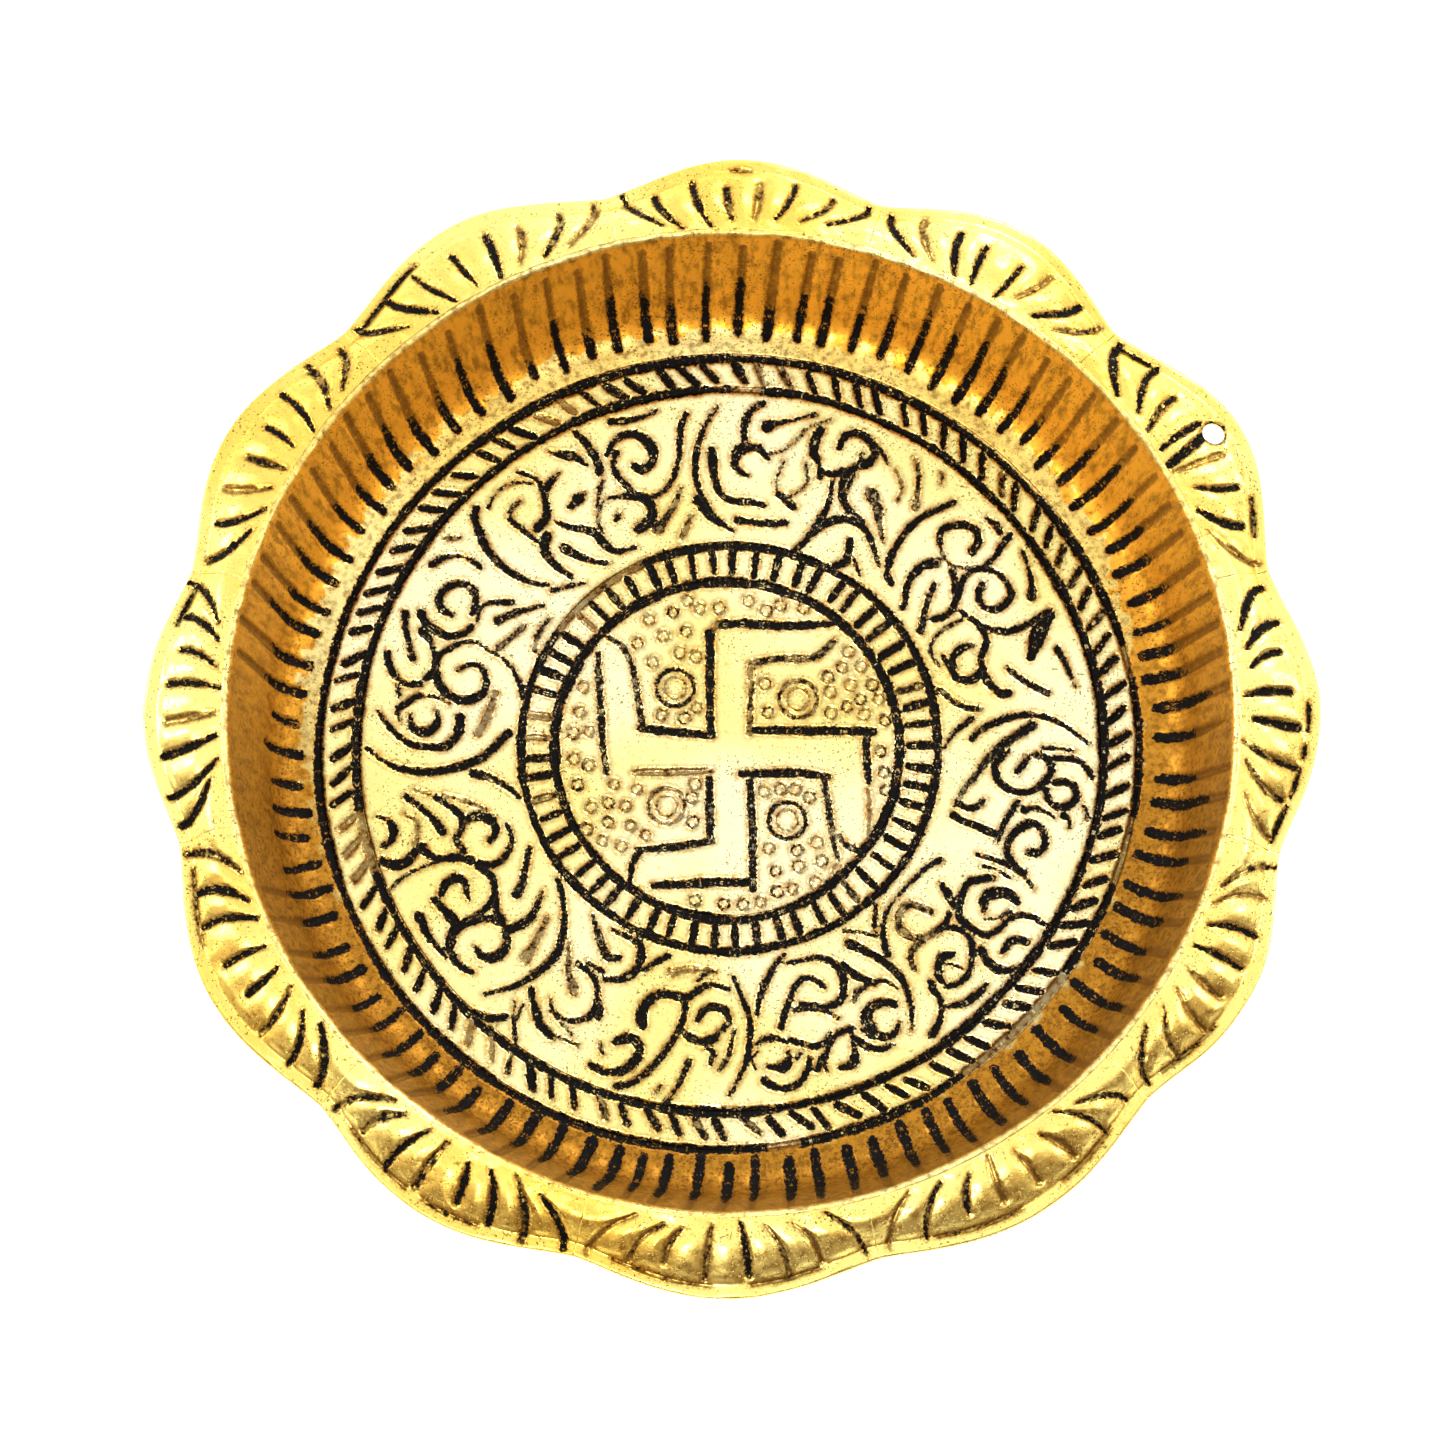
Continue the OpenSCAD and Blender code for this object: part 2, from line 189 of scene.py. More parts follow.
        [1, 1.2, 1, 0.8, -9.8, 31.8, -7, 31.4, -3.8, 31.5],
        [1.2, 1.1, 0.9, 0.1, 3, 44.6, 2, 43.4, 1.4, 41.5, 1.4, 39.8, 2.6, 38.1, 3.6, 37.6],
        [0.8, 1.2, 0.8, 0, 4.2, 40.7, 4.5, 42.2, 6, 43, 7.8, 42.3, 8.7, 40.8, 8.3, 39.2, 7, 38.2,
         5.2, 38.2],
        [0.5, 0.5, 0.9, 0.1, 4.5, 37.2, 6.5, 37.3, 7.6, 36.2, 8.5, 33.8],
        [1, 0.5, 0.8, 0.3, 9.7, 45.5, 11, 44.5, 12, 42.8, 12.1, 41, 11.6, 39.4],
        [1.2, 0.8, 0.5, 0.4, 5.5, 34.6, 7, 33.2, 8.3, 31.5, 9.5, 29.8],
        [0.8, 0.9, 0.9, 0.6, 2, 33.3, 3.8, 32.2, 6, 31.1],
        [0.8, 0.9, 0.5, 0.7, 3.4, 28.6, 5.5, 29, 8.3, 28.3],
        [1.2, 1.1, 0.9, 0.5, -15, 30.3, -14.8, 28.5, -15, 26.5],
        [0.4, 0.6, 0.7, 0.7, 13.5, 45.4, 14, 44.4, 14.4, 43.4],
    ],
    200: [
        [0.5, 0.9, 1.2, 0.2, -14, 44.5, -12, 45.3, -10, 45.9, -7.7, 46],
        [0.8, 1.2, 0.8, 0.3, -17, 42, -15.5, 43.3, -13.5, 43.8],
        [0.6, 1.5, 0.9, 0, -14, 40.4, -15.3, 40.2, -16.1, 39, -16, 37.5, -15, 36.4, -13.8, 36.2],
        [1.4, 1.2, 0.9, 0, -12.8, 43.6, -11.2, 42.5, -10.6, 40.8, -10.6, 39, -11, 37.6, -12, 36.6],
        [1.3, 1.2, 1.1, 0, -10, 41.8, -8.6, 42.4, -6.4, 43.4],
        [0.8, 0.9, 0.9, 0, -10.3, 40.5, -9.9, 38, -8.8, 36.2, -7.2, 35.4, -5.5, 35.5, -4, 36.7],
        [1.3, 0.8, 1.3, 0.1, -2.9, 37.2, -1.9, 38.8, -1.5, 40.6, -0.8, 41.8, 0.8, 42.6],
        [0.3, 0.3, 0.3, 0.3, -1.6, 41, -1.7, 43.5, -1.8, 45.5, -3, 48.6],
        [0.9, 1.3, 0.3, 0, -5.8, 42.3, -4.7, 41.2, -4.5, 39.9, -5.3, 38.9, -6.6, 39.1, -7.8, 39.1],
        [1.3, 1, 0.8, 0, -12.2, 36, -10.2, 36.2, -8.5, 35.6],
        [1.4, 1, 0.3, 0.1, -13.3, 35.8, -13.3, 34.2, -12.8, 32.3, -11.3, 30.8, -10, 29.6],
        [0.5, 0.9, 0.7, 0.7, -17.3, 35.2, -16.4, 33.5, -15, 31.8, -13.7, 30.4],
        [1.4, 1, 0.7, 0.3, -9.2, 33, -8, 31.8, -6, 30.6, -3.9, 29.3],
        [1.2, 1.4, 0.9, 0, 0.9, 48, -0.1, 46.8, -0.3, 45.4, 0.3, 44, 1, 43.2],
        [0.7, 1.2, 0.4, 0, 2.8, 47.4, 3.1, 46.2, 4.5, 45.3, 6, 45.7, 6.9, 46.8],
        [0.5, 0.6, 0.4, 0.7, 1.5, 43.6, 2.5, 42.7, 4.5, 42.2, 6, 43.3],
        [1.1, 0.8, 0.9, 0.2, 2, 39.4, 4, 39.9, 6, 41, 8.1, 42.3],
        [0.6, 0.5, 0.3, 0.8, 8.6, 40.9, 7.3, 39.3],
        [1, 1, 0.8, 0, -1.4, 37.6, 0.3, 38, 1.6, 36.8, 3.2, 36.4, 4.8, 37.3, 6.6, 38.6],
        [0.7, 1.4, 0.9, 0.1, 1.5, 37, 2.5, 35.6, 2.3, 34, 1.2, 32.8, -0.3, 32.7, -1.3, 34.1],
        [0.9, 1, 0.5, 0.2, -3.5, 36.5, -4.4, 34.8, -4.2, 33.3, -3.2, 31.9, -1.8, 31.1, 0, 31.1],
        [0.5, 0.7, 0.5, 0.7, 6.6, 37.6, 5.2, 35.6, 3.8, 34, 2.7, 33],
        [0.8, 0.9, 0.6, 0.2, 8, 33.2, 7.2, 31.5, 5.4, 29.8, 3, 28.3],
    ],
    240: [
        [0.6, 0.8, 0.7, 0.4, -16.6, 45.5, -16.9, 43, -16.7, 41, -16.5, 39.2],
        [0.4, 0.5, 0.3, 0.6, -14.8, 45, -15, 43.8],
        [1, 1, 0.9, 0, -10, 46.8, -11.3, 45.6, -12.3, 43.7, -12.9, 41.5, -13.2, 39, -13.3, 36.6,
         -13, 34.6, -12.2, 32.8],
        [1, 1.3, 1.2, 0, -5.8, 46, -7.5, 45.9, -9.3, 45, -10.3, 43.4, -10.3, 41.5, -9.5, 40.5,
         -8.2, 40.4, -7, 41.8],
        [0.5, 0.7, 0.4, 0.5, -6.3, 44, -5.2, 43],
        [1.6, 1.2, 0.6, 0, -8.8, 38, -8, 37, -7.9, 35.2, -8.6, 33.5, -10, 32.8, -12, 32, -12.8, 30.5,
         -14, 28.9, -16.2, 28.4],
        [1.1, 1.3, 0.8, 0, -17.9, 34.9, -16.6, 36.1, -14.3, 36.4],
        [0.9, 0.9, 0.7, 0.2, -14.7, 33.8, -15, 32, -16.5, 31.1, -18, 31.7],
        [1.2, 1, 0.6, 0.8, -8.6, 30.2, -10.5, 28.6, -13.5, 27.2],
        [0.7, 0.8, 0.8, 0.1, -5.3, 31.7, -6.1, 30.2, -7.1, 28.5],
        [0.7, 1.3, 0.5, 0, -1.5, 35.4, -3.2, 34.4, -4.3, 32.8, -4.3, 30.8, -3.4, 29.2, -1.8, 28.9,
         1, 29.1],
        [0.9, 1.2, 0.4, 0.3, -1.7, 31.9, -0.2, 32.5, 1.5, 31.2, 3, 29.8, 4.2, 28.7],
        [0.4, 0.9, 0.8, 0.1, 3.4, 41, 2.3, 42.2, 0.5, 42.5, -1.2, 41.9, -2.3, 40.5, -2.3, 38.8,
         -1.3, 36.8, 0.5, 35.6, 2.5, 35.3],
        [0.6, 0.9, 0.5, 0.1, -3.4, 40.2, -3.2, 39.3, -2.7, 38.4],
        [0.7, 0.8, 0.6, 0.3, -0.8, 34.5, 1.6, 34.6],
        [0.8, 1.3, 1, 0.1, 6.1, 41.2, 4.6, 43, 2.8, 44.6, 0.5, 45.4],
        [0.4, 0.4, 0.2, 0.4, 0.5, 45.2, -1, 44.8, -3, 44.6],
        [0.3, 0.4, 0.3, 0.5, -1.5, 43.8, 1, 43, 2.5, 42.5],
        [1.3, 1, 0.4, 0.7, 1.2, 38.6, 2.8, 37, 4, 35.3, 5, 33.5],
        [0.5, 1.2, 0.7, 0, 11, 44.9, 9.8, 43.6, 8.2, 42, 7, 40, 6, 37.5, 5.6, 35, 6.2, 33, 7, 31.2,
         8.6, 28.8, 10.5, 26.8],
        [0.7, 0.6, 0.4, 0, 4.5, 48, 5.8, 46.3, 7.2, 43.6],
        [0.5, 0.6, 0.4, 0.1, 5.8, 46, 6, 43.5],
        [0.9, 1.2, 1, 0, 7.2, 46.1, 8.5, 47.1, 11, 47.7],
        [1.2, 0.9, 0.5, 0.8, 8.7, 38.2, 8.8, 35.5, 9, 32.3],
    ],
    280: [
        [1.2, 1.6, 0.5, 0, -15, 37.8, -14, 37.3, -12.2, 37.6, -11.2, 39, -11.6, 40.8, -12.8, 41.8,
         -14.4, 41.7, -15.3, 40.3],
        [0.6, 1.1, 0.9, 0, -13.8, 43.1, -12.2, 43.4, -10.5, 42.7, -9, 41.2],
        [0.8, 1.6, 0.4, 0, -6.8, 44.9, -8.3, 44.6, -8.9, 43.3, -8.8, 42],
        [0.4, 0.6, 0.5, 0.1, -11.6, 41.9, -10.2, 40.4],
        [1.2, 0.6, 1, 0, -3.7, 44.5, -4.8, 43.2, -5.7, 41.8, -7, 40.5, -9, 40],
        [0.6, 0.6, 0.5, 0, -4.9, 45, -4.6, 43.5],
        [0.8, 1, 1, 0, -3, 43, -2.3, 44.6, -1, 46, 0.7, 46.4, 2.3, 45.8, 3.4, 44.9],
        [0.4, 1.4, 0.7, 0, -0.3, 41.5, -0.2, 42.8, 0.8, 43.6, 2.6, 43.1],
        [0.4, 0.4, 0.3, 0, -2, 42, -1.2, 42.8],
        [0.5, 0.9, 0.8, 0.1, -6.2, 40.1, -5.3, 41.2, -4, 41.6, -2.5, 41, -1, 40.2],
        [1, 0.9, 0.7, 0.1, 0, 38.2, -0.7, 36.8, -1.7, 35, -2.8, 33.2, -4.3, 32.3, -5.4, 32.8,
         -6.4, 33.9],
        [0.7, 0.5, 0.7, 0.2, -7.5, 38.4, -6.4, 37.4, -4, 36.5, -2, 36.4],
        [0.6, 1.2, 0.3, 0.1, -3, 35.6, -4.5, 36.1, -6.5, 36.6, -8.3, 36, -9.1, 34.3, -9, 32.3,
         -8, 30.8, -6.3, 30, -4.4, 30, -1.8, 30],
        [1, 1.1, 0.7, 0.1, -12.9, 34.7, -11, 33.3, -9.4, 31.5],
        [0.7, 1, 0.5, 0.5, -11.8, 34.9, -10.6, 35.4, -9.8, 36.6],
        [0.4, 0.6, 0.7, 0.2, -15.8, 35.8, -14.3, 34.4, -13, 34.6],
        [0.5, 1.1, 0.5, 0, 2.8, 36.2, 2.2, 34.4, 1, 32.2, -0.5, 30.2, -2.2, 28.8],
        [0.5, 1, 0.5, 0.3, -0.3, 40.3, 0.8, 39.6, 2.3, 39.5, 3.5, 39.9],
        [0.3, 0.3, 0.3, 0.2, 4.2, 43, 4.6, 41.8, 3.6, 40.8],
        [0.4, 1, 0.3, 0, 8.2, 46, 6.5, 43.8, 5, 41.5, 4.2, 39, 3.8, 36.5, 4.2, 34, 4.6, 32.4, 5, 30.5],
        [0.6, 0.8, 0.5, 0.5, 9, 42.5, 7.5, 41, 6.6, 39, 6, 37.5],
        [0.6, 0.9, 0.4, 0.2, 9.9, 41.5, 9.2, 40, 10.2, 39.3],
        [0.8, 1, 0.9, 0.1, 8, 37.5, 8.8, 38.4, 10.5, 38.2, 12, 37.8, 12.6, 36.7],
        [0.8, 0.9, 0.7, 0.2, 7.4, 37.2, 6.4, 36, 6.9, 34.6, 8.4, 34, 9.8, 34.4, 10.4, 35.3],
        [0.4, 0.5, 0.3, 0, 8.4, 29.6, 9.8, 30.4],
    ],
    320: [
        [0.4, 0.8, 0.6, 0.1, -10.8, 42.9, -11.3, 41, -11.2, 38.5, -10.5, 36.2, -9.7, 34.3],
        [0.3, 0.3, 0.3, 0.2, -10, 39.5, -9.7, 37.5, -9, 35.8],
        [1, 1.5, 0.9, 0, -8.1, 42.2, -8.2, 40.6, -7.2, 39.3, -5.8, 38.6, -4.4, 39.7],
        [0.7, 1, 1, 0.1, -8, 46.8, -7.9, 45.2, -7, 43.6, -5.5, 42.8, -3.8, 42.7, -2.3, 42.2, -1.7, 41,
         -1.5, 39, -1.6, 37.8, -2.7, 36.8, -4.5, 36, -6, 35.8, -7.3, 36.6, -8.6, 37.8],
        [0.3, 0.3, 0.3, 0.3, -6.7, 42.3, -5, 41.8, -3.6, 40.5],
        [1.2, 1.1, 0.8, 0, -4.8, 46.6, -4.2, 45.4, -3.2, 44.9, -1.6, 45.1],
        [0.4, 1.2, 1, 0, -3, 48.4, -1.5, 47.9, 0, 46.8, 0.6, 45.3, 0.3, 43.7, -0.3, 42.5],
        [0.8, 1, 0.8, 0.1, 6.5, 42.4, 5.2, 43.3, 3.5, 43.4, 1.8, 42.7, 0.3, 41.6, -0.5, 40.3,
         -0.3, 38.5, 0.6, 37.2],
        [0.9, 1.2, 0.5, 0, 2.9, 40.1, 3.9, 39.4, 5.2, 39.8, 6.3, 41, 6.4, 42.2],
        [0.3, 0.3, 0.3, 0, 3.4, 42.5, 3.8, 41, 4.4, 40],
        [1.2, 0.8, 1, 0, 12.7, 45, 11, 44.7, 9.3, 43.8, 8.3, 42.6, 8, 41.2, 7.2, 40.4],
        [0.6, 1.2, 0.6, 0, 3, 46.2, 4.8, 46.1, 6.8, 45.5, 8.5, 44.2],
        [0.8, 1.2, 1, 0.7, 1.2, 36.8, 3.2, 36, 4.5, 34.4, 4.3, 32.4, 2.7, 31.4, 1, 32, 0.2, 34.4],
        [0.8, 0.9, 0.9, 0, -1.2, 36.5, 0.3, 36.9, 1.4, 36.8],
        [0.8, 1, 0.5, 0.6, 7.5, 37.7, 6.6, 36.4, 5.5, 35.8, 3.8, 36.2],
        [1, 1.1, 0.7, 0.1, -2.4, 36.4, -3, 34.8, -3.6, 33.1],
        [0.7, 0.4, 1.1, 0.2, -6, 31, -4, 30.2, -1.5, 29.9, 1.5, 29.8, 4, 30.1, 5.8, 31, 7.2, 32.3,
         8.2, 33.8],
        [0.5, 1, 1.2, 0, 14, 42.5, 12.3, 41.3, 11, 39.7, 9.8, 38, 9.3, 36, 9.3, 33.5, 9.8, 31,
         10.3, 29],
        [0.5, 0.4, 0.3, 0.1, 7.3, 31, 8.3, 29, 9.5, 27.5],
        [0.6, 0.9, 0.5, 0.1, 4, 28.3, 5.5, 29.3, 6.9, 30.5],
    ],
}

# Strokes that outline the swastik and its feet: widths and wear as above, then x, y points.
SWASTIK = [
    [1.1, 1.2, 0.9, 0.2, -1.4, 16.6, 2, 16.7, 8, 16.4, 13.6, 16.7],
    [0.9, 0.8, 0.8, 0.8, -2.6, 15.2, -1.5, 16.8],
    [1.3, 1.1, 1, 0.12, -2.6, 15.2, -2.6, 11, -2.6, 6, -2.5, 1.5],
    [0.9, 1, 0.8, 0.6, 2.8, 11.2, 6, 11.9, 9, 11.9, 11.5, 12.2, 13.8, 14.3],
    [1, 0.9, 0.9, 0.75, 2.9, 11.2, 2.8, 7, 2.6, 1.8],
    [0.9, 1.2, 1, 0.15, 3, 2.2, 8, 2.1, 13, 2.1, 18.8, 2],
    [1, 1.1, 0.8, 0.4, 18, 1.5, 18, -1, 18.2, -4.8],
    [0.8, 0.8, 0.6, 1, 18.2, -6, 18.3, -9, 18.1, -12],
    [0.9, 1.2, 0.9, 0.3, 1.5, -3.8, 5, -3.7, 9, -3.6, 12.9, -4.1],
    [0.9, 0.9, 0.6, 0.5, 12.3, -4.2, 12.8, -7, 13.2, -10, 13.6, -13, 14.2, -15.2],
    [0.7, 0.9, 0.7, 0.4, 14.3, -12.2, 15.2, -13.3, 17.3, -14.4],
    [0.9, 1.1, 1, 0.35, 2.6, -4.8, 2.8, -8, 3, -12, 3, -16, 3, -19.3],
    [1.1, 1.3, 0.9, 0.1, 2.5, -18.4, -2, -18.4, -6, -18.6, -10, -18.8],
    [1, 1.2, 1, 0.35, -2.7, -4.4, -2.7, -8, -2.6, -12.8],
    [0.8, 1, 0.7, 0.4, -2.3, -12.8, -5, -13.3, -9, -13.8, -12.2, -13.9],
    [0.7, 0.9, 0.7, 0.3, -11.5, -14, -12.6, -15.5, -13.2, -18.4],
    [0.8, 1, 0.8, 0.8, -2.5, -3.4, -7, -3.5, -12.5, -3.6],
    [0.8, 1, 0.8, 0.45, -17.4, 12.5, -17.2, 8, -16.9, 4, -16.7, 0, -16.2, -3.7],
    [0.7, 0.9, 0.8, 0.5, -16.2, 14.8, -14.2, 13.5, -12.9, 11, -12.3, 8, -11.8, 4.5, -11.5, 2.6],
    [1, 1.1, 0.9, 0.25, -11.8, 2.4, -7, 1.9, -2.3, 1.4],
]
# The four dots: x, y, radius, wear of the outer ring.
DOTS = [(-7.2, 7.9, 2.5, 0.3), (9, 6.4, 2.5, 0.65), (7.5, -10, 2.45, 0.35), (-8.3, -8.1, 2.4, 0.7)]
# Small punched rings that fill the ground between the arms: x, y.
PUNCHES = [
    (-10.7, 17.2), (-7.5, 18.2), (-4, 18.7), (-1.4, 18.8), (2.5, 19.8), (4.8, 18.5), (6.7, 19.2),
    (9.7, 18.8), (-12.2, 14), (-8.8, 15), (-5.8, 15.6), (-6.6, 12.7), (-4.5, 12.2), (-10.2, 11.4),
    (-9, 4.2), (-6, 3.8), (-4.4, 5.2), (-19.3, 8), (-19.8, 4.6), (-20.6, 1.8), (-18.5, 2),
    (-20.5, -1.7), (-18.6, -2.6), (-20, -5.2), (-15.2, -5.2), (-12.2, -5.8), (-18.2, -8.3),
    (-16, -7.7), (-13.7, -8.1), (-16, -10.3), (-13, -10.8), (-18.8, -11.2), (-16.7, -12.8),
    (-14.2, -13.5), (-11, -12), (-5, -7), (-4.6, -5.1), (-4.9, -10.2), (4.5, -6.2), (6.7, -5.8),
    (8.6, -5.9), (10.4, -6.9), (5.1, -13.8), (8.8, -14.1), (11.4, -13), (12, -15.5), (9, -16.2),
    (6, -16.8), (14.2, -16.8), (11.2, -18.4), (8.2, -19.2), (6.2, -19.6), (4, -21), (1.7, -21.4),
    (-0.8, -21.3), (-4.6, -20.8), (4.6, 8.5), (5, 4.6), (12.9, 9.4), (13.2, 7.4), (13.3, 4.5),
    (15.9, 8.3), (18.8, 8.3), (17.2, 6.4), (19.6, 6.4), (15.4, 5.4), (17.7, 4.3), (20.4, 3.5),
    (15.6, 12.8), (14.8, 10.7), (17.3, 10.8), (19.8, -0.7), (20.2, -3.5), (20.5, -6), (-5.6, 19.8),
]

# The rim's twelve petals: where each starts, and how far its tip reaches.
NOTCHES = [16, 46, 74, 103, 134, 164, 193, 224, 254, 285, 317, 346, 376]
TIPS = [77.6, 77.1, 76.4, 76.6, 76.4, 76.1, 76.1, 75.8, 75.6, 75.6, 75.9, 76.4]
NOTCH_R = 72.9
HOLE_R = 74.05
HOLE_TURN = 31.4
HOLE_D = 3.0
# Parts of the line along the lip's inner side that kept their black: from, to, wear.
LIP_MARKS = [
    (41, 44.5, 0.2), (124, 132, 0.3), (-1, 2, 0.1), (347, 351, 0), (352, 355, 0), (356, 357.5, 0.1),
    (20, 24, 0.5), (88, 90, 0.8), (166, 170, 0.4), (196, 204, 0.7), (228, 236, 0.8), (258, 268, 0.85),
    (291, 300, 0.85), (320, 327, 0.7), (238, 244, 0.7), (272, 279, 0.9), (305, 312, 0.9),
]


def smoothstep(a, b, x):
    t = np.clip((x - a) / (b - a), 0, 1)
    return t * t * (3 - 2 * t)


def value_noise(x, y, size, seed):
    """Smooth noise from -1 to 1 with bumps of about that size."""
    n = 96
    table = np.random.default_rng(seed).uniform(-1, 1, (n, n))
    gx = x / size + 50 * n
    gy = y / size + 50 * n
    ix = np.floor(gx).astype(int)
    iy = np.floor(gy).astype(int)
    fx = gx - ix
    fy = gy - iy
    fx = fx * fx * (3 - 2 * fx)
    fy = fy * fy * (3 - 2 * fy)
    low = table[ix % n, iy % n] * (1 - fx) + table[(ix + 1) % n, iy % n] * fx
    high = table[ix % n, (iy + 1) % n] * (1 - fx) + table[(ix + 1) % n, (iy + 1) % n] * fx
    return low * (1 - fy) + high * fy


def through(points, step=0.45):
    """A smooth line through the points, as close points and each one's share of the length."""
    p = np.asarray(points, float)
    ends = np.vstack([2 * p[0] - p[1], p, 2 * p[-1] - p[-2]])
    out = []
    for k in range(len(p) - 1):
        a, b, c, d = ends[k:k + 4]
        n = max(2, int(np.linalg.norm(c - b) / step))
        t = np.arange(n)[:, None] / n
        out.append(0.5 * (2 * b + (c - a) * t + (2 * a - 5 * b + 4 * c - d) * t ** 2
                          + (3 * b - a - 3 * c + d) * t ** 3))
    line = np.vstack([*out, p[-1:]])
    run = np.concatenate([[0], np.cumsum(np.linalg.norm(np.diff(line, axis=0), axis=1))])
    return line, run


class Relief:
    """For a set of points on the sheet: how far each is outside the nearest stroke's edge."""

    def __init__(self, x, y):
        self.x = x.copy()
        self.y = y.copy()
        self.edge = np.full(x.shape, FAR)
        self.wear = np.zeros(x.shape)
        self.along = np.zeros(x.shape)
        self.nx = np.zeros(x.shape)
        self.ny = np.zeros(x.shape)

    def keep(self, index, edge, wear, along, nx, ny):
        nearer = edge < self.edge[index]
        index = index[nearer]
        self.edge[index] = edge[nearer]
        self.wear[index] = np.broadcast_to(wear, edge.shape)[nearer]
        self.along[index] = along[nearer]
        self.nx[index] = nx[nearer]
        self.ny[index] = ny[nearer]

    def stroke(self, line, run, widths, wear):
        low = line.min(0) - FAR
        high = line.max(0) + FAR
        inside = (self.x > low[0]) & (self.x < high[0]) & (self.y > low[1]) & (self.y < high[1])
        index = np.nonzero(inside)[0]
        if not len(index):
            return
        share = run / run[-1]
        half = 0.5 * np.interp(share, [0, 0.5, 1], widths)
        half = half * (1 + 0.16 * value_noise(run * 1.3 + line[0, 0] * 7, line[:, 1], 1.1, 11))
        best = np.full(len(index), FAR)
        data = np.zeros((3, len(index)))
        px = self.x[index]
        py = self.y[index]
        for k in range(len(line) - 1):
            ax, ay = line[k]
            dx, dy = line[k + 1] - line[k]
            size = dx * dx + dy * dy
            if size < 1e-12:
                continue
            t = np.clip(((px - ax) * dx + (py - ay) * dy) / size, 0, 1)
            ox = px - ax - t * dx
            oy = py - ay - t * dy
            away = np.sqrt(ox * ox + oy * oy) + 1e-9
            edge = away - (half[k] * (1 - t) + half[k + 1] * t)
            nearer = edge < best
            best = np.where(nearer, edge, best)
            data[0] = np.where(nearer, run[k] + t * (run[k + 1] - run[k]), data[0])
            data[1] = np.where(nearer, ox / away, data[1])
            data[2] = np.where(nearer, oy / away, data[2])
        self.keep(index, best, wear, data[0] + line[0, 0] * 3.7, data[1], data[2])

    def ring(self, cx, cy, radius, width, wear):
        dx = self.x - cx
        dy = self.y - cy
        away = np.sqrt(dx * dx + dy * dy) + 1e-9
        index = np.nonzero(away < radius + FAR)[0]
        off = away[index] - radius
        side = np.where(off < 0, -1.0, 1.0)
        turn = np.arctan2(dy[index], dx[index])
        self.keep(index, np.abs(off) - width / 2, wear, turn * radius,
                  side * dx[index] / away[index], side * dy[index] / away[index])

    def finish(self, cell, free):
        """Rough edges, and points close to an edge moved onto it. Only free points move."""
        self.edge += 0.07 * value_noise(self.x, self.y, 0.8, 5)
        near = free & (np.abs(self.edge) < 0.42 * cell)
        self.x[near] -= (self.nx * self.edge)[near]
        self.y[near] -= (self.ny * self.edge)[near]
        self.edge[near] = 0
        return self


def flat_stroke(item):
    return through(np.reshape(item[4:], (-1, 2))), item[:3], item[3]


def cell_strokes():
    """The scrollwork's strokes in the tray's own frame."""
    made = []
    for turn, items in SCROLL.items():
        a = math.radians(turn)
        for item in items:
            u, v = np.reshape(item[4:], (-1, 2)).T
            p = np.stack([v * math.cos(a) + u * math.sin(a), v * math.sin(a) - u * math.cos(a)], 1)
            made.append((through(p), item[:3], item[3]))
    return made


def tick_strokes(rng, count, inner, outer, lean, worn):
    """Short ticks round a band; worn is a list of (from, to) angles where they are rubbed away."""
    made = []
    for k in range(count):
        turn = 360 * (k + rng.uniform(-0.14, 0.14)) / count
        a = math.radians(turn)
        b = a + math.radians(lean + rng.uniform(-0.25, 0.35) * abs(lean) + rng.uniform(-2, 2))
        lo = inner + rng.uniform(-0.3, 0.3)
        long = outer - lo + rng.uniform(-0.4, 0.2)
        start = np.array([lo * math.cos(a), lo * math.sin(a)])
        end = start + long * np.array([math.cos(b), math.sin(b)])
        w = rng.uniform(0.9, 1.2)
        wear = 0.05 if rng.random() < 0.8 else rng.uniform(0.3, 0.8)
        if any(lo_t <= turn <= hi_t for lo_t, hi_t in worn):
            wear = 0.95
        made.append((through([start, (start + end) / 2, end]), [w * 0.85, w, w * 0.9], wear))
    return made


def ring_strokes():
    """The four ring lines, with the wobble that the hand gave them."""
    made = []
    rings = [
        ([22.3, 22.3, 22.4, 22.8, 23.1, 23.1, 23.5, 22.6], 1.25, 0.03),
        ([27.3, 27.7, 27.3, 27.4, 27.5, 27.6, 27.6, 27.7], 1.1, 0.15),
        ([49.3, 48.6, 49.1, 48.9, 49.0, 49.4, 49.5, 48.8, 48.5], 1.2, 0.1),
        ([54.0, 53.0, 53.3, 53.2, 53.8, 54.3, 54.4, 53.8, 53.1], 1.15, 0.15),
    ]
    gaps = {1: [(113, 146)], 2: [(191, 199), (87, 92)],
            3: [(305, 325), (340, 350), (276, 280), (8, 14)]}
    for n, (radii, width, wear) in enumerate(rings):
        turns = np.arange(0, 361, 1.0)
        known = np.linspace(0, 360, len(radii) + 1)
        r = np.interp(turns, known, [*radii, radii[0]])
        r = np.convolve(np.concatenate([r[-21:-1], r, r[1:21]]), np.ones(21) / 21, "same")[20:-20]
        r += 0.1 * value_noise(turns, turns * 0 + n * 10, 7, 21 + n)
        for start in range(0, 360, 5):
            k = slice(start, start + 6)
            a = np.radians(turns[k])
            middle = start + 2.5
            rubbed = any(lo <= middle <= hi for lo, hi in gaps.get(n, []))
            w = width * (1 + 0.2 * value_noise(np.array([start + n * 77.0]), np.array([0.0]), 9, 3)[0])
            p = np.stack([r[k] * np.cos(a), r[k] * np.sin(a)], 1)
            made.append((through(p), [w, w, w], 0.9 if rubbed else wear))
    return made


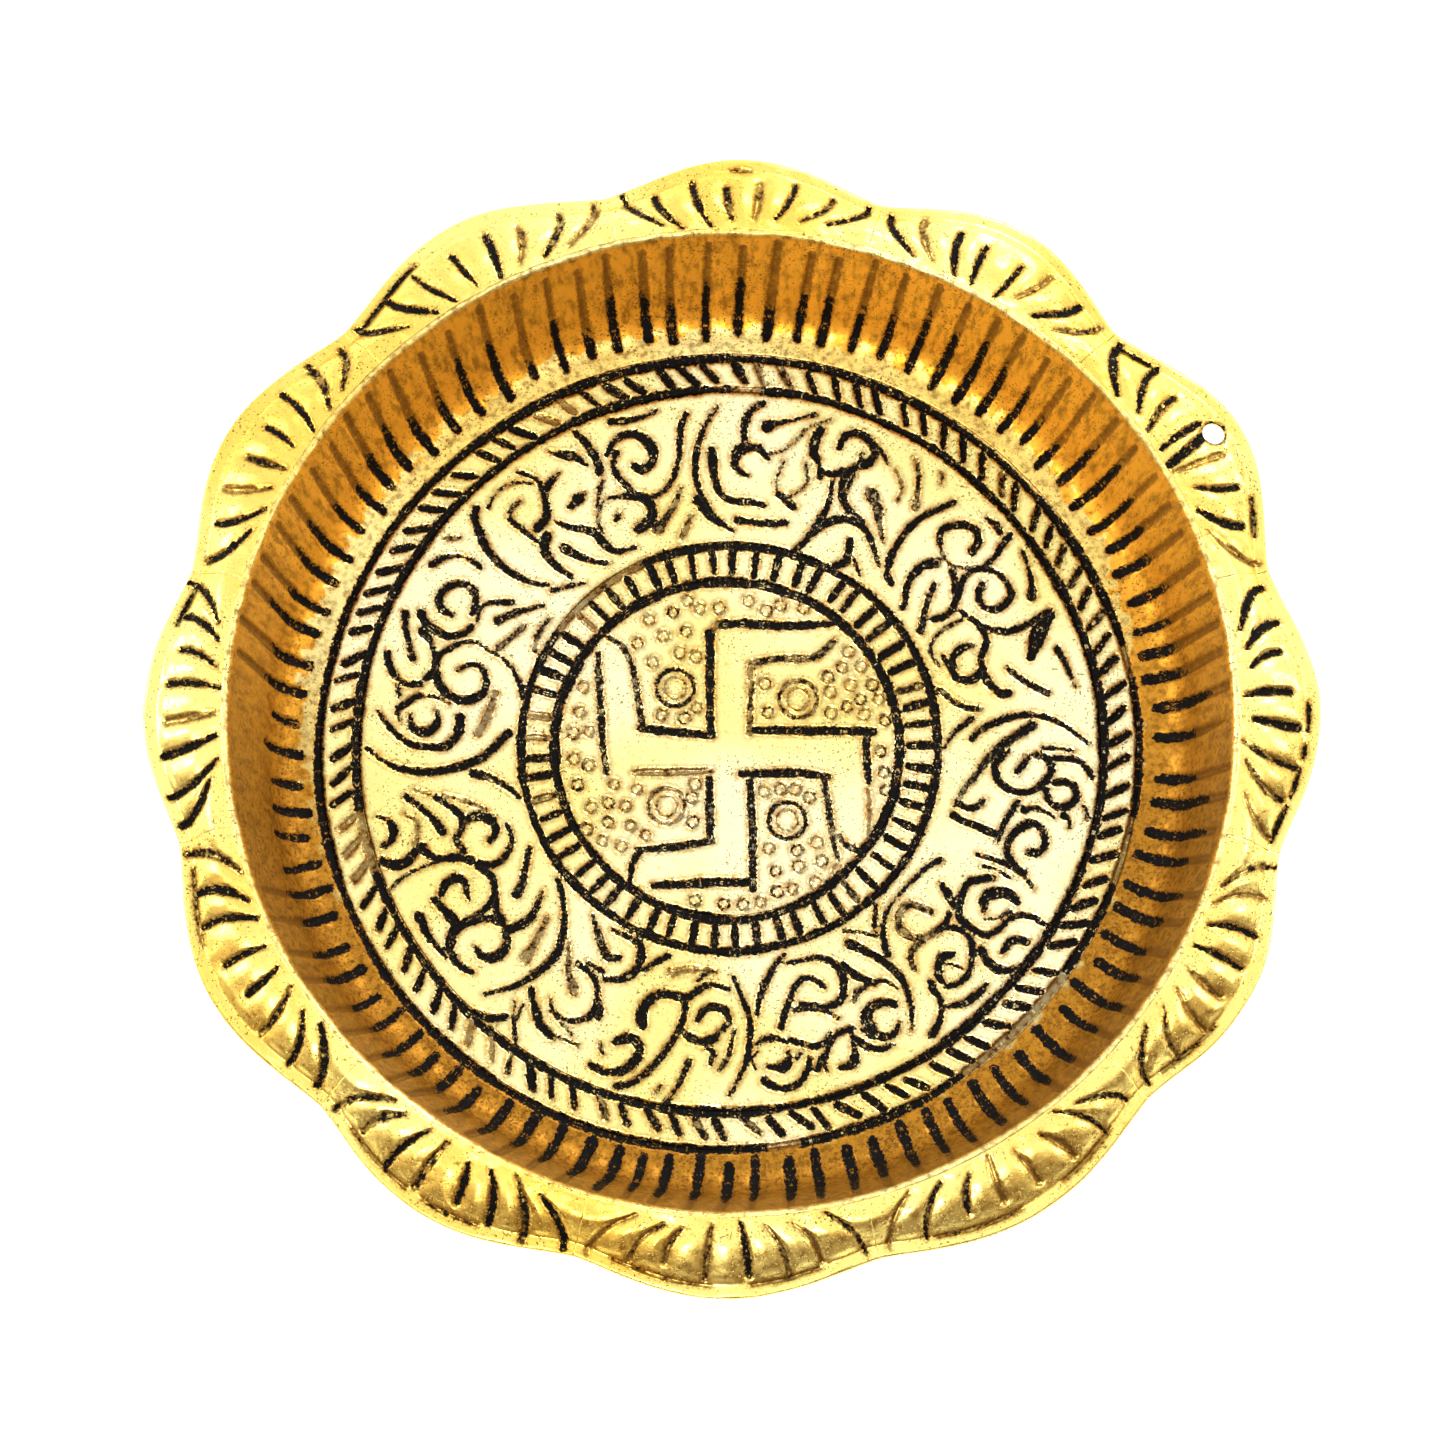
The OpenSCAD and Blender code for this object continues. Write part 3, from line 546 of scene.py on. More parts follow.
rng = np.random.default_rng(7)
FLOOR_STROKES = (
    cell_strokes()
    + [flat_stroke(s) for s in SWASTIK]
    + tick_strokes(rng, 57, 23.6, 27.0, 0, [(168, 176), (135, 142)])
    + tick_strokes(rng, 98, 49.9, 53.0, 34, [(188, 200), (224, 233), (113, 119)])
    + ring_strokes()
)


def floor_relief(x, y, cell, free):
    relief = Relief(x, y)
    for (line, run), widths, wear in FLOOR_STROKES:
        relief.stroke(line, run, np.maximum(widths, 0.42), wear)
    punch_rng = np.random.default_rng(19)
    for px, py in PUNCHES:
        relief.ring(px, py, punch_rng.uniform(0.66, 0.78), 0.34, punch_rng.uniform(0.55, 0.95))
    for px, py, r, wear in DOTS:
        relief.ring(px, py, r, 0.55, wear)
        relief.ring(px, py, r - 1.05, 0.3, 0.85)
    return relief.finish(cell, free)


def crest_rise(x, y):
    """Dents along the crest, where the sheet was turned over by hand."""
    near = smoothstep(2.2, 0.4, np.abs(np.hypot(x, y) - CREST_R))
    return near * (0.16 * value_noise(x, y, 2.6, 71) + 0.08 * value_noise(x, y, 1.1, 72))


def carve(edge, wear, depth):
    """Height change beside and inside a stroke."""
    groove = -depth * smoothstep(0.1, -0.38, edge) * (1 - 0.35 * wear)
    lip = 0.05 * np.exp(-((edge - 0.28) / 0.16) ** 2)
    swell = -0.2 * np.exp(-np.clip(edge, 0, None) / 0.9)
    return groove + lip + swell


def hand(x, y):
    """Unevenness of the hand-worked sheet."""
    return (0.16 * value_noise(x, y, 13, 31) + 0.05 * value_noise(x, y, 4.2, 32)
            + 0.016 * value_noise(x, y, 1.3, 33))


def floor_top(x, y, edge, wear):
    return FLOOR + carve(edge, wear, FLOOR_CUT) + hand(x, y)


def floor_under(x, y, edge):
    r = np.hypot(x, y)
    bead = np.zeros(x.shape)
    for line in (MEDALLION_R, INNER_R, SCROLL_R, FOOT_R):
        bead = np.maximum(bead, smoothstep(0.9, 0.2, np.abs(r - line)))
    bump = 0.13 * smoothstep(0.5, -0.4, edge)
    return UNDER - np.maximum(bump, UNDER * bead) + np.minimum(hand(x, y), 0.1) * (1 - bead) * 0.4


def mesh_object(name, points, faces, values, flat_from, material):
    """A closed mesh from points in millimetres; faces from flat_from on are side faces."""
    points = np.asarray(points) / 1000
    faces = np.asarray(faces)
    mesh = bpy.data.meshes.new(name)
    mesh.vertices.add(len(points))
    mesh.vertices.foreach_set("co", points.astype(np.float32).ravel())
    mesh.loops.add(faces.size)
    mesh.loops.foreach_set("vertex_index", faces.astype(np.int32).ravel())
    mesh.polygons.add(len(faces))
    mesh.polygons.foreach_set("loop_start", np.arange(0, faces.size, 4, dtype=np.int32))
    sharp = np.zeros(len(faces), bool)
    sharp[flat_from:] = True
    mesh.update(calc_edges=True)
    mesh.polygons.foreach_set("use_smooth", ~sharp)
    for key, value in values.items():
        attribute = mesh.attributes.new(key, "FLOAT", "POINT")
        attribute.data.foreach_set("value", np.asarray(value, np.float32))
    mesh.validate()
    mesh.update()
    piece = bpy.data.objects.new(name, mesh)
    bpy.context.scene.collection.objects.link(piece)
    mesh.materials.append(material)
    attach(piece, "root")
    return piece


def ring_faces(turns, rows, first, flip=False):
    """Quads between consecutive closed rows of points."""
    j = np.arange(rows - 1)[:, None] * turns
    i = np.arange(turns)[None, :]
    k = (i + 1) % turns
    quad = np.stack([j + i, j + turns + i, j + turns + k, j + k], -1).reshape(-1, 4) + first
    return quad[:, ::-1] if flip else quad


def ring_piece(name, top, values, under, turns, material, node):
    """A closed ring of sheet: the points of its two faces by rows, and the top face's values."""
    n_top = len(top) // turns
    n_under = len(under) // turns
    first = len(top)
    i = np.arange(turns)
    k = (i + 1) % turns
    last = (n_top - 1) * turns
    last_under = first + (n_under - 1) * turns
    inner = np.stack([i, k, first + k, first + i], -1)
    outer = np.stack([last + i, last_under + i, last_under + k, last + k], -1)
    faces = np.vstack([ring_faces(turns, n_top, 0), ring_faces(turns, n_under, first, True),
                       inner, outer])
    piece = mesh_object(name, np.vstack([top, under]), faces, with_plain(values, len(under)),
                        len(faces) - 2 * turns, material)
    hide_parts(node)


def values_of(relief):
    return {"edge": relief.edge, "wear": relief.wear, "along": relief.along}


def with_plain(values, count):
    """The values, followed by those of that many points with no stroke near."""
    return {key: np.concatenate([value, np.full(count, FAR if key == "edge" else 0.0)])
            for key, value in values.items()}


def free_points(rows, columns, held=()):
    """Which points of a grid may move: not the first and last row, nor the held columns."""
    free = np.ones((rows, columns), bool)
    free[[0, -1]] = False
    for column in held:
        free[:, column] = False
    return free.ravel()


def ring_grid(distances, turns):
    """Points by rows, one row for each distance: two flat arrays, distance and angle."""
    a = np.linspace(0, 2 * math.pi, turns, endpoint=False)
    rr, aa = np.meshgrid(distances, a, indexing="ij")
    return rr.ravel(), aa.ravel()


def flat_ring(name, inner, outer, turns, rows, under_rows, material):
    """A zone of the flat floor between two ring lines."""
    r, a = ring_grid(np.linspace(inner, outer, rows + 1), turns)
    cell = min((outer - inner) / rows, 2 * math.pi * inner / turns)
    relief = floor_relief(r * np.cos(a), r * np.sin(a), cell, free_points(rows + 1, turns))
    top = np.stack([relief.x, relief.y,
                    floor_top(relief.x, relief.y, relief.edge, relief.wear)], 1)
    r, a = ring_grid(np.linspace(inner, outer, under_rows + 1), turns)
    x = r * np.cos(a)
    y = r * np.sin(a)
    below = floor_relief(x, y, cell, np.zeros(x.shape, bool))
    under = np.stack([x, y, floor_under(x, y, below.edge)], 1)
    ring_piece(name + "_sheet", top, values_of(relief), under, turns, material, name)


def medallion_piece(n, material):
    """The round middle zone, on a square grid bent to a disc."""
    t = np.linspace(-1, 1, n + 1)
    u, v = np.meshgrid(t, t, indexing="ij")
    u = u.ravel()
    v = v.ravel()
    wide = np.abs(u) > np.abs(v)
    with np.errstate(divide="ignore", invalid="ignore"):
        angle = np.where(wide, math.pi / 4 * v / u, math.pi / 2 - math.pi / 4 * u / v)
    angle = np.nan_to_num(angle)
    size = np.where(wide, u, v) * MEDALLION_R
    x = size * np.cos(angle)
    y = size * np.sin(angle)
    border = (np.abs(u) > 1 - 1e-9) | (np.abs(v) > 1 - 1e-9)
    relief = floor_relief(x, y, 1.6 * MEDALLION_R / n, ~border)
    top = np.stack([relief.x, relief.y,
                    floor_top(relief.x, relief.y, relief.edge, relief.wear)], 1)
    under = np.stack([x, y, floor_under(x, y, relief.edge)], 1)
    i = np.arange(n)[:, None] * (n + 1)
    j = np.arange(n)[None, :]
    quad = np.stack([i + j, i + n + 1 + j, i + n + 2 + j, i + j + 1], -1).reshape(-1, 4)
    total = (n + 1) ** 2
    k = np.arange(n)
    loops = [(k * (n + 1), (k + 1) * (n + 1)),
             (n * (n + 1) + k, n * (n + 1) + k + 1),
             ((n - k) * (n + 1) + n, (n - k - 1) * (n + 1) + n),
             (n - k, n - k - 1)]
    sides = [np.stack([b, a, a + total, b + total], -1) for a, b in loops]
    faces = np.vstack([quad, quad[:, ::-1] + total, *sides])
    piece = mesh_object("medallion_plate", np.vstack([top, under]), faces,
                        with_plain(values_of(relief), total), len(faces) - 4 * n,
                        material)
    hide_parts("medallion")


# The wall in section: flat to the foot, a fillet, a straight slope, and the crest's roll.
# A length along the section is counted from START_R, so the flat stretch has s = r - START_R.
START_R = 50.0
FOOT_X = FOOT_R + 1.6
FOOT_S = FOOT_X - START_R
WALL_START = FOOT_R - START_R
FILLET = 5.0
ROLL = 1.2
WALL_R = 61.0   # mean radius, at which distances round the wall are taken


def wall_slope():
    """Slope at which the straight stretch is tangent to both arcs."""
    run = CREST_R - FOOT_X
    rise = CREST - FLOOR
    low, high = math.radians(40), math.radians(85)
    for _ in range(40):
        mid = (low + high) / 2
        gap = (run - (FILLET + ROLL) * math.tan(mid / 2)) * math.sin(mid) - rise * math.cos(mid)
        if gap < 0:
            low = mid
        else:
            high = mid
    return (low + high) / 2


SLOPE = wall_slope()
FILLET_END = FOOT_S + FILLET * SLOPE
STRAIGHT_A = (FOOT_X + FILLET * math.sin(SLOPE), FLOOR + FILLET * (1 - math.cos(SLOPE)))
STRAIGHT_B = (CREST_R - ROLL * math.sin(SLOPE), CREST - ROLL * (1 - math.cos(SLOPE)))
STRAIGHT = math.hypot(STRAIGHT_B[0] - STRAIGHT_A[0], STRAIGHT_B[1] - STRAIGHT_A[1])
WALL_END = FILLET_END + STRAIGHT + ROLL * SLOPE


def wall_section(s):
    """Radius, height and slope of the wall's upper face at a length along its section."""
    a = np.clip((s - FOOT_S) / FILLET, 0, SLOPE)
    b = np.clip(s - FILLET_END, 0, STRAIGHT)
    c = np.clip((s - FILLET_END - STRAIGHT) / ROLL, 0, SLOPE)
    r = np.minimum(s + START_R, FOOT_X) + FILLET * np.sin(a) + b * math.cos(SLOPE)
    z = FLOOR + FILLET * (1 - np.cos(a)) + b * math.sin(SLOPE)
    r = r + ROLL * (math.sin(SLOPE) - np.sin(SLOPE - c))
    z = z + ROLL * (np.cos(SLOPE - c) - math.cos(SLOPE))
    return r, z, a - c


def wall_strokes():
    """Flutes as lines of (distance round the wall at its mean radius, section length)."""
    rng = np.random.default_rng(23)
    turns = []
    turn = 1.2
    while turn < 358.5:
        turns.append(turn)
        turn += rng.uniform(3.2, 4.55)
    made = []
    for turn in turns:
        front = math.cos(math.radians(turn - 300))
        lean = -0.5 - 0.9 * max(0, math.cos(math.radians(turn - 330))) - rng.uniform(0, 0.3)
        if 195 < turn < 230:
            lean = 0.4
        low = rng.uniform(5.9, 7.2) - 1.0 * max(0, front)
        high = rng.uniform(22.6, 24.8)
        if 176 < turn < 198:
            high = rng.uniform(10.5, 13)
        base = math.radians(turn) * WALL_R
        top = math.radians(turn + lean) * WALL_R
        ends = [(base, low), (base * 0.75 + top * 0.25, low + 0.25 * (high - low)),
                (base * 0.4 + top * 0.6, low + 0.6 * (high - low)), (top, high)]
        w = rng.uniform(0.85, 1.1)
        if front > 0.3:
            w *= 1.15
        made.append((through(ends, 0.8), [w * 1.35, w * 1.08, w * 0.9], rng.uniform(0, 0.3)))
    return made


def wall_piece(turns, rows, under_rows, material):
    """The wall from the outer ring line to the crest, with rows set closer at the foot."""
    close = 11
    close_end = 6.1
    s = np.concatenate([np.linspace(WALL_START, close_end, close),
                        np.linspace(close_end, WALL_END, rows - close + 2)[1:]])
    length, a = ring_grid(s, turns)
    relief = Relief(a * WALL_R, length)
    for (line, run), widths, wear in wall_strokes():
        relief.stroke(line, run, widths, wear)
    relief.finish(0.22, free_points(rows + 1, turns, [0]))
    turn = relief.x / WALL_R
    r, z, slope = wall_section(relief.y)
    lift = carve(relief.edge, relief.wear, WALL_CUT)
    lift = lift - 0.1 + 0.14 * value_noise(relief.x, relief.y, 5.5, 41)
    lift += 0.05 * value_noise(relief.x, relief.y * 0.3, 1.6, 42)
    fade = smoothstep(5.2, 7.5, relief.y) * smoothstep(WALL_END, WALL_END - 1.2, relief.y)
    # The foot's ring line is chased in the floor's own way.
    foot = floor_relief(r * np.cos(turn), r * np.sin(turn), 0.2, np.zeros(r.shape, bool))
    at_foot = foot.edge < relief.edge
    edge = np.where(at_foot, foot.edge, relief.edge)
    wear = np.where(at_foot, foot.wear, relief.wear)
    along = np.where(at_foot, foot.along, relief.along)
    flat = hand(r * np.cos(turn), r * np.sin(turn))
    flat += carve(foot.edge, foot.wear, FLOOR_CUT)
    lift = lift * fade + flat * (1 - smoothstep(5, 7.5, relief.y))
    # The deep orange is partly the finish and partly painted reflection and shade on the sloped wall;
    # it begins close to the ring line, except at the far side, where the foot is kept pale as painted
    # light.
    begin = 2.2 + 3.8 * smoothstep(-0.3, 0.6, np.sin(turn) - 0.3 * np.cos(turn))
    tone = smoothstep(0, 3.2, relief.y - begin + 1.5 * value_noise(relief.x, relief.y, 1.1, 43))
    at_crest = smoothstep(WALL_END - 0.4, WALL_END - 1.6, relief.y)
    tone = tone * at_crest
    # Brown fades towards the crest: the flutes are black low down and worn brown high up.
    reach = 14 + 5 * value_noise(relief.x, relief.y * 0, 5.0, 44) - 1.5 * np.sin(turn)
    wear = np.clip(wear + 1.1 * smoothstep(reach - 3, reach + 4, relief.y) * (relief.edge < 1), 0, 1.2)
    r = r - lift * np.sin(slope)
    z = z + lift * np.cos(slope)
    z = z + crest_rise(r * np.cos(turn), r * np.sin(turn))
    top = np.stack([r * np.cos(turn), r * np.sin(turn), z], 1)
    # Painted shade: the wall's near side, towards -Y, is darkened towards the deep brown by its
    # direction alone, a little more where the orange is painted.
    painted_near_shade = smoothstep(-0.75, 0.25, -np.sin(turn)) * (0.7 + 0.3 * tone) * at_crest
    values = {"edge": edge, "wear": wear, "along": along, "tone": tone, "painted_near_shade": painted_near_shade}
    length, a = ring_grid(np.linspace(WALL_START, WALL_END, under_rows + 1), turns)
    below = Relief(a * WALL_R, length)
    for (line, run), widths, wear in wall_strokes():
        below.stroke(line, run, widths, wear)
    r, z, slope = wall_section(below.y)
    push = SHEET + 0.14 * smoothstep(0.5, -0.4, below.edge)
    push += UNDER * smoothstep(0.9, 0.2, np.abs(below.y - WALL_START))
    r = r + push * np.sin(slope)
    z = z - push * np.cos(slope)
    turn = below.x / WALL_R
    under = np.stack([r * np.cos(turn), r * np.sin(turn), z], 1)
    ring_piece("wall_ring", top, values, under, turns, material, "wall")


def edge_radius(petal, turn):
    """The scalloped outline, at an angle between the petal's two notches."""
    lo, hi = NOTCHES[petal], NOTCHES[petal + 1]
    share = np.clip((turn - lo) / (hi - lo), 0, 1) * 2 - 1
    shape = (0.5 + 0.5 * np.cos(math.pi * share)) ** 0.72
    wobble = 0.18 * value_noise(turn, turn * 0 + 3, 5.5, 51) * (1 - share ** 2)
    return NOTCH_R + (TIPS[petal] - NOTCH_R) * shape + wobble


def petal_strokes():
    """Strokes that fan out over every petal, in the tray's own frame."""
    rng = np.random.default_rng(29)
    count = 8
    made = []
    for petal in range(12):
        lo, hi = NOTCHES[petal], NOTCHES[petal + 1]
        middle = (lo + hi) / 2
        for k in range(count):
            out = (k - (count - 1) / 2) * (hi - lo - 2.8) / (count - 1) + rng.uniform(-0.35, 0.35)
            start = 27.3 + rng.uniform(-0.2, 1.6)
            end = 34.6 + rng.uniform(-1.6, 0.6)
            if abs(out) > 11:
                end -= 0.7
            inner = out * rng.uniform(0.66, 0.76)
            points = []
            for t in np.linspace(0, 1, 5):
                s = start + (end - start) * t
                r = CREST_R + (s - 26.7) * 0.9
                turn = math.radians(middle + inner + (out - inner) * (1 - (1 - t) ** 2))
                points.append((r * math.cos(turn), r * math.sin(turn)))
            w = rng.uniform(0.75, 1.15)
            wear = rng.choice([0.0, 0.15, 0.35, 0.6, 0.85])
            if 250 < middle < 335:
                wear = min(0.95, wear + 0.35)
                w *= 0.85
            made.append((through(points), [w * 0.55, w, w * 0.9], wear))
    # The black stroke that runs into the hanging hole.
    a = [math.radians(t) for t in (30.4, 30.9, 31.5)]
    r = (66.2, 69.3, 72.6)
    hole_line = [(q * math.cos(t), q * math.sin(t)) for q, t in zip(r, a)]
    made.append((through(hole_line), [0.9, 1.3, 1.1], 0))
    for lo, hi, wear in LIP_MARKS:
        turns = np.linspace(lo, hi, 6)
        points = []
        for turn in turns:
            t = turn if turn >= NOTCHES[0] else turn + 360
            petal = max(k for k in range(12) if NOTCHES[k] <= t)
            q = float(edge_radius(petal, np.array([t]))[0]) - 1.45
            points.append((q * math.cos(math.radians(t)), q * math.sin(math.radians(t))))
        made.append((through(points), [0.4, 0.7, 0.4], wear))
    return made


PETAL_STROKES = petal_strokes()


def petal_relief(x, y, cell, free):
    relief = Relief(x, y)
    for (line, run), widths, wear in PETAL_STROKES:
        relief.stroke(line, run, np.maximum(widths, 0.4), wear)
    return relief.finish(cell, free)


def petal_top(x, y, r_edge, edge, wear):
    """Height of the rim's upper face: flat off the crest, falling steeply, then the flat lip."""
    r = np.hypot(x, y)
    lip = r_edge - 1.5
    share = np.clip((r - CREST_R) / (lip - CREST_R), 0, 1)
    fall = share ** 2.3 * (1.28 - 0.28 * share ** 6)
    fall = np.minimum(fall, 1)
    z = CREST - (CREST - LIP) * fall
    fade = smoothstep(0, 0.8, r - CREST_R) * smoothstep(0.05, 0.5, r_edge - r)
    puff = 0.45 * (1 - np.exp(-np.clip(edge, 0, None) / 0.9)) * smoothstep(0.15, 0.5, share)
    puff *= smoothstep(1, 0.86, share)
    rough = 0.07 * value_noise(x, y, 3.4, 61) + 0.03 * value_noise(x, y, 1.2, 62)
    step = -0.05 * smoothstep(-0.25, 0.25, r - lip) * smoothstep(1.2, 0.3, r_edge - r)
    return z + (carve(edge, wear, PETAL_CUT) + puff + rough) * fade + step + crest_rise(x, y)


def petal_piece(petal, across, rows, material):
    """One petal from the crest to its rounded outer edge, with the hanging hole in the first."""
    lo, hi = NOTCHES[petal], NOTCHES[petal + 1]
    turn = np.radians(np.linspace(lo, hi, across + 1))
    outline = edge_radius(petal, np.degrees(turn))
    share = np.linspace(0, 1, rows + 1)
    rr = CREST_R + share[:, None] * (outline[None, :] - CREST_R)
    x = (rr * np.cos(turn)[None, :]).ravel()
    y = (rr * np.sin(turn)[None, :]).ravel()
    relief = petal_relief(x, y, 0.19, free_points(rows + 1, across + 1, [0, -1]))
    x = relief.x
    y = relief.y
    angle = np.degrees(np.arctan2(y, x)) % 360
    angle = np.where(angle < 15.9, angle + 360, angle)
    angle = np.clip(angle, lo, hi)
    r_edge = edge_radius(petal, angle)
    wide = across + 1
    n = (rows + 1) * wide
    i = np.arange(rows)[:, None] * wide
    j = np.arange(across)[None, :]
    quad = np.stack([i + j, i + wide + j, i + wide + j + 1, i + j + 1], -1).reshape(-1, 4)
    hole = np.zeros((0, 4), int)
    if petal == 0:
        a = math.radians(HOLE_TURN)
        hx = x - HOLE_R * math.cos(a)
        hy = y - HOLE_R * math.sin(a)
        away = np.hypot(hx, hy)
        inside = away < HOLE_D / 2 - 0.04
        gone = inside[quad].any(1)
        rim = np.zeros(n, bool)
        rim[quad[gone].ravel()] = True
        rim &= ~inside
        x[rim] += (hx / away * (HOLE_D / 2 - away))[rim]
        y[rim] += (hy / away * (HOLE_D / 2 - away))[rim]
        relief.edge = np.minimum(relief.edge, away - HOLE_D / 2 - 0.22)
        relief.wear = np.where(away < HOLE_D / 2 + 0.5, 0.2, relief.wear)
        kept = {tuple(e) for q in quad[~gone] for e in zip(q, np.roll(q, -1))}
        border = [e for q in quad[gone] for e in zip(q, np.roll(q, -1))
                  if (e[1], e[0]) in kept]
        hole = np.array([[a, b, b + n, a + n] for a, b in border])
        quad = quad[~gone]
    top_z = petal_top(x, y, r_edge, relief.edge, relief.wear)
    smooth_z = petal_top(x, y, r_edge, np.full(x.shape, FAR), relief.wear)
    under_z = np.minimum(smooth_z - SHEET, top_z - 0.55)
    trim = smoothstep(0.35, 0, r_edge - np.hypot(x, y))
    top = np.stack([x, y, top_z - 0.16 * trim], 1)
    # The joint between two petals is slanted, so no light passes through it.
    slant = np.radians(0.3) * smoothstep(5, 0, np.minimum(angle - lo, hi - angle))
    under = np.stack([x * np.cos(slant) - y * np.sin(slant), x * np.sin(slant) + y * np.cos(slant),
                      under_z + 0.16 * trim], 1)
    last = rows * wide + np.arange(wide)
    rounded = []
    for lift in (0.36, 0.62):
        row = top[last] * (1 - lift) + under[last] * lift
        row[:, :2] *= (1 + 0.1 / np.hypot(row[:, 0], row[:, 1]))[:, None]
        rounded.append(row)
    e1 = 2 * n + np.arange(wide)
    e2 = e1 + wide
    j = np.arange(across)
    rim_faces = [np.stack([a[j], b[j], b[j + 1], a[j + 1]], -1)
                 for a, b in ((last, e1), (e1, e2), (e2, last + n))]
    inner = np.stack([j, j + 1, j + 1 + n, j + n], -1)
    k = np.arange(rows) * wide
    left = np.stack([k, k + n, k + wide + n, k + wide], -1)
    right = np.stack([k + across, k + wide + across, k + wide + across + n, k + across + n], -1)
    tips = [[last[0], last[0] + n, e2[0], e1[0]], [last[-1], e1[-1], e2[-1], last[-1] + n]]
    faces = np.vstack([quad, quad[:, ::-1] + n, *rim_faces, inner, left, right, tips, hole])
    flat_from = 2 * len(quad) + 3 * across
    values = with_plain(values_of(relief), n + 2 * wide)
    points = np.vstack([top, under, *rounded])
    used = np.zeros(len(points), bool)
    used[faces.ravel()] = True
    place = np.cumsum(used) - 1
    values = {key: value[used] for key, value in values.items()}
    piece = mesh_object(f"petal_{petal + 1:02d}_sheet", points[used], place[faces], values,
                        flat_from, material)
    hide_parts(f"petal_{petal + 1:02d}")


class Graph:
    """Short names for the shader nodes used here."""

    def __init__(self, tree):
        self.tree = tree

    def node(self, kind, **inputs):
        made = self.tree.nodes.new(kind)
        for key, value in inputs.items():
            self.put(made.inputs[int(key[1:])], value)
        return made

    def put(self, socket, value):
        if isinstance(value, bpy.types.NodeSocket):
            self.tree.links.new(value, socket)
        else:
            socket.default_value = value

    def math(self, operation, a, b):
        made = self.node("ShaderNodeMath", i0=a, i1=b)
        made.operation = operation
        return made.outputs[0]

    def ramp(self, value, low, high, to_low=0.0, to_high=1.0):
        made = self.node("ShaderNodeMapRange", i0=value, i1=low, i2=high, i3=to_low, i4=to_high)
        made.interpolation_type = "SMOOTHSTEP"
        return made.outputs[0]

    def noise(self, where, scale, detail=2.0, rough=0.5):
        made = self.tree.nodes.new("ShaderNodeTexNoise")
        self.put(made.inputs["Vector"], where)
        made.inputs["Scale"].default_value = scale
        made.inputs["Detail"].default_value = detail
        made.inputs["Roughness"].default_value = rough
        return made.outputs["Fac"]

    def attribute(self, name):
        made = self.tree.nodes.new("ShaderNodeAttribute")
        made.attribute_name = name
        return made.outputs["Fac"]

    def mix(self, share, a, b):
        made = self.tree.nodes.new("ShaderNodeMix")
        made.data_type = "RGBA"
        self.put(made.inputs[0], share)
        self.put(made.inputs[6], a)
        self.put(made.inputs[7], b)
        return made.outputs[2]


# Brown: the colour of worn patina inside the strokes, and of the painted shade beside them.
BROWN = (0.36, 0.15, 0.014, 1)
STAIN = (0.11, 0.05, 0.01, 1)
PIT = (0.09, 0.045, 0.01, 1)
BLACK = (0.003, 0.0022, 0.0015, 1)


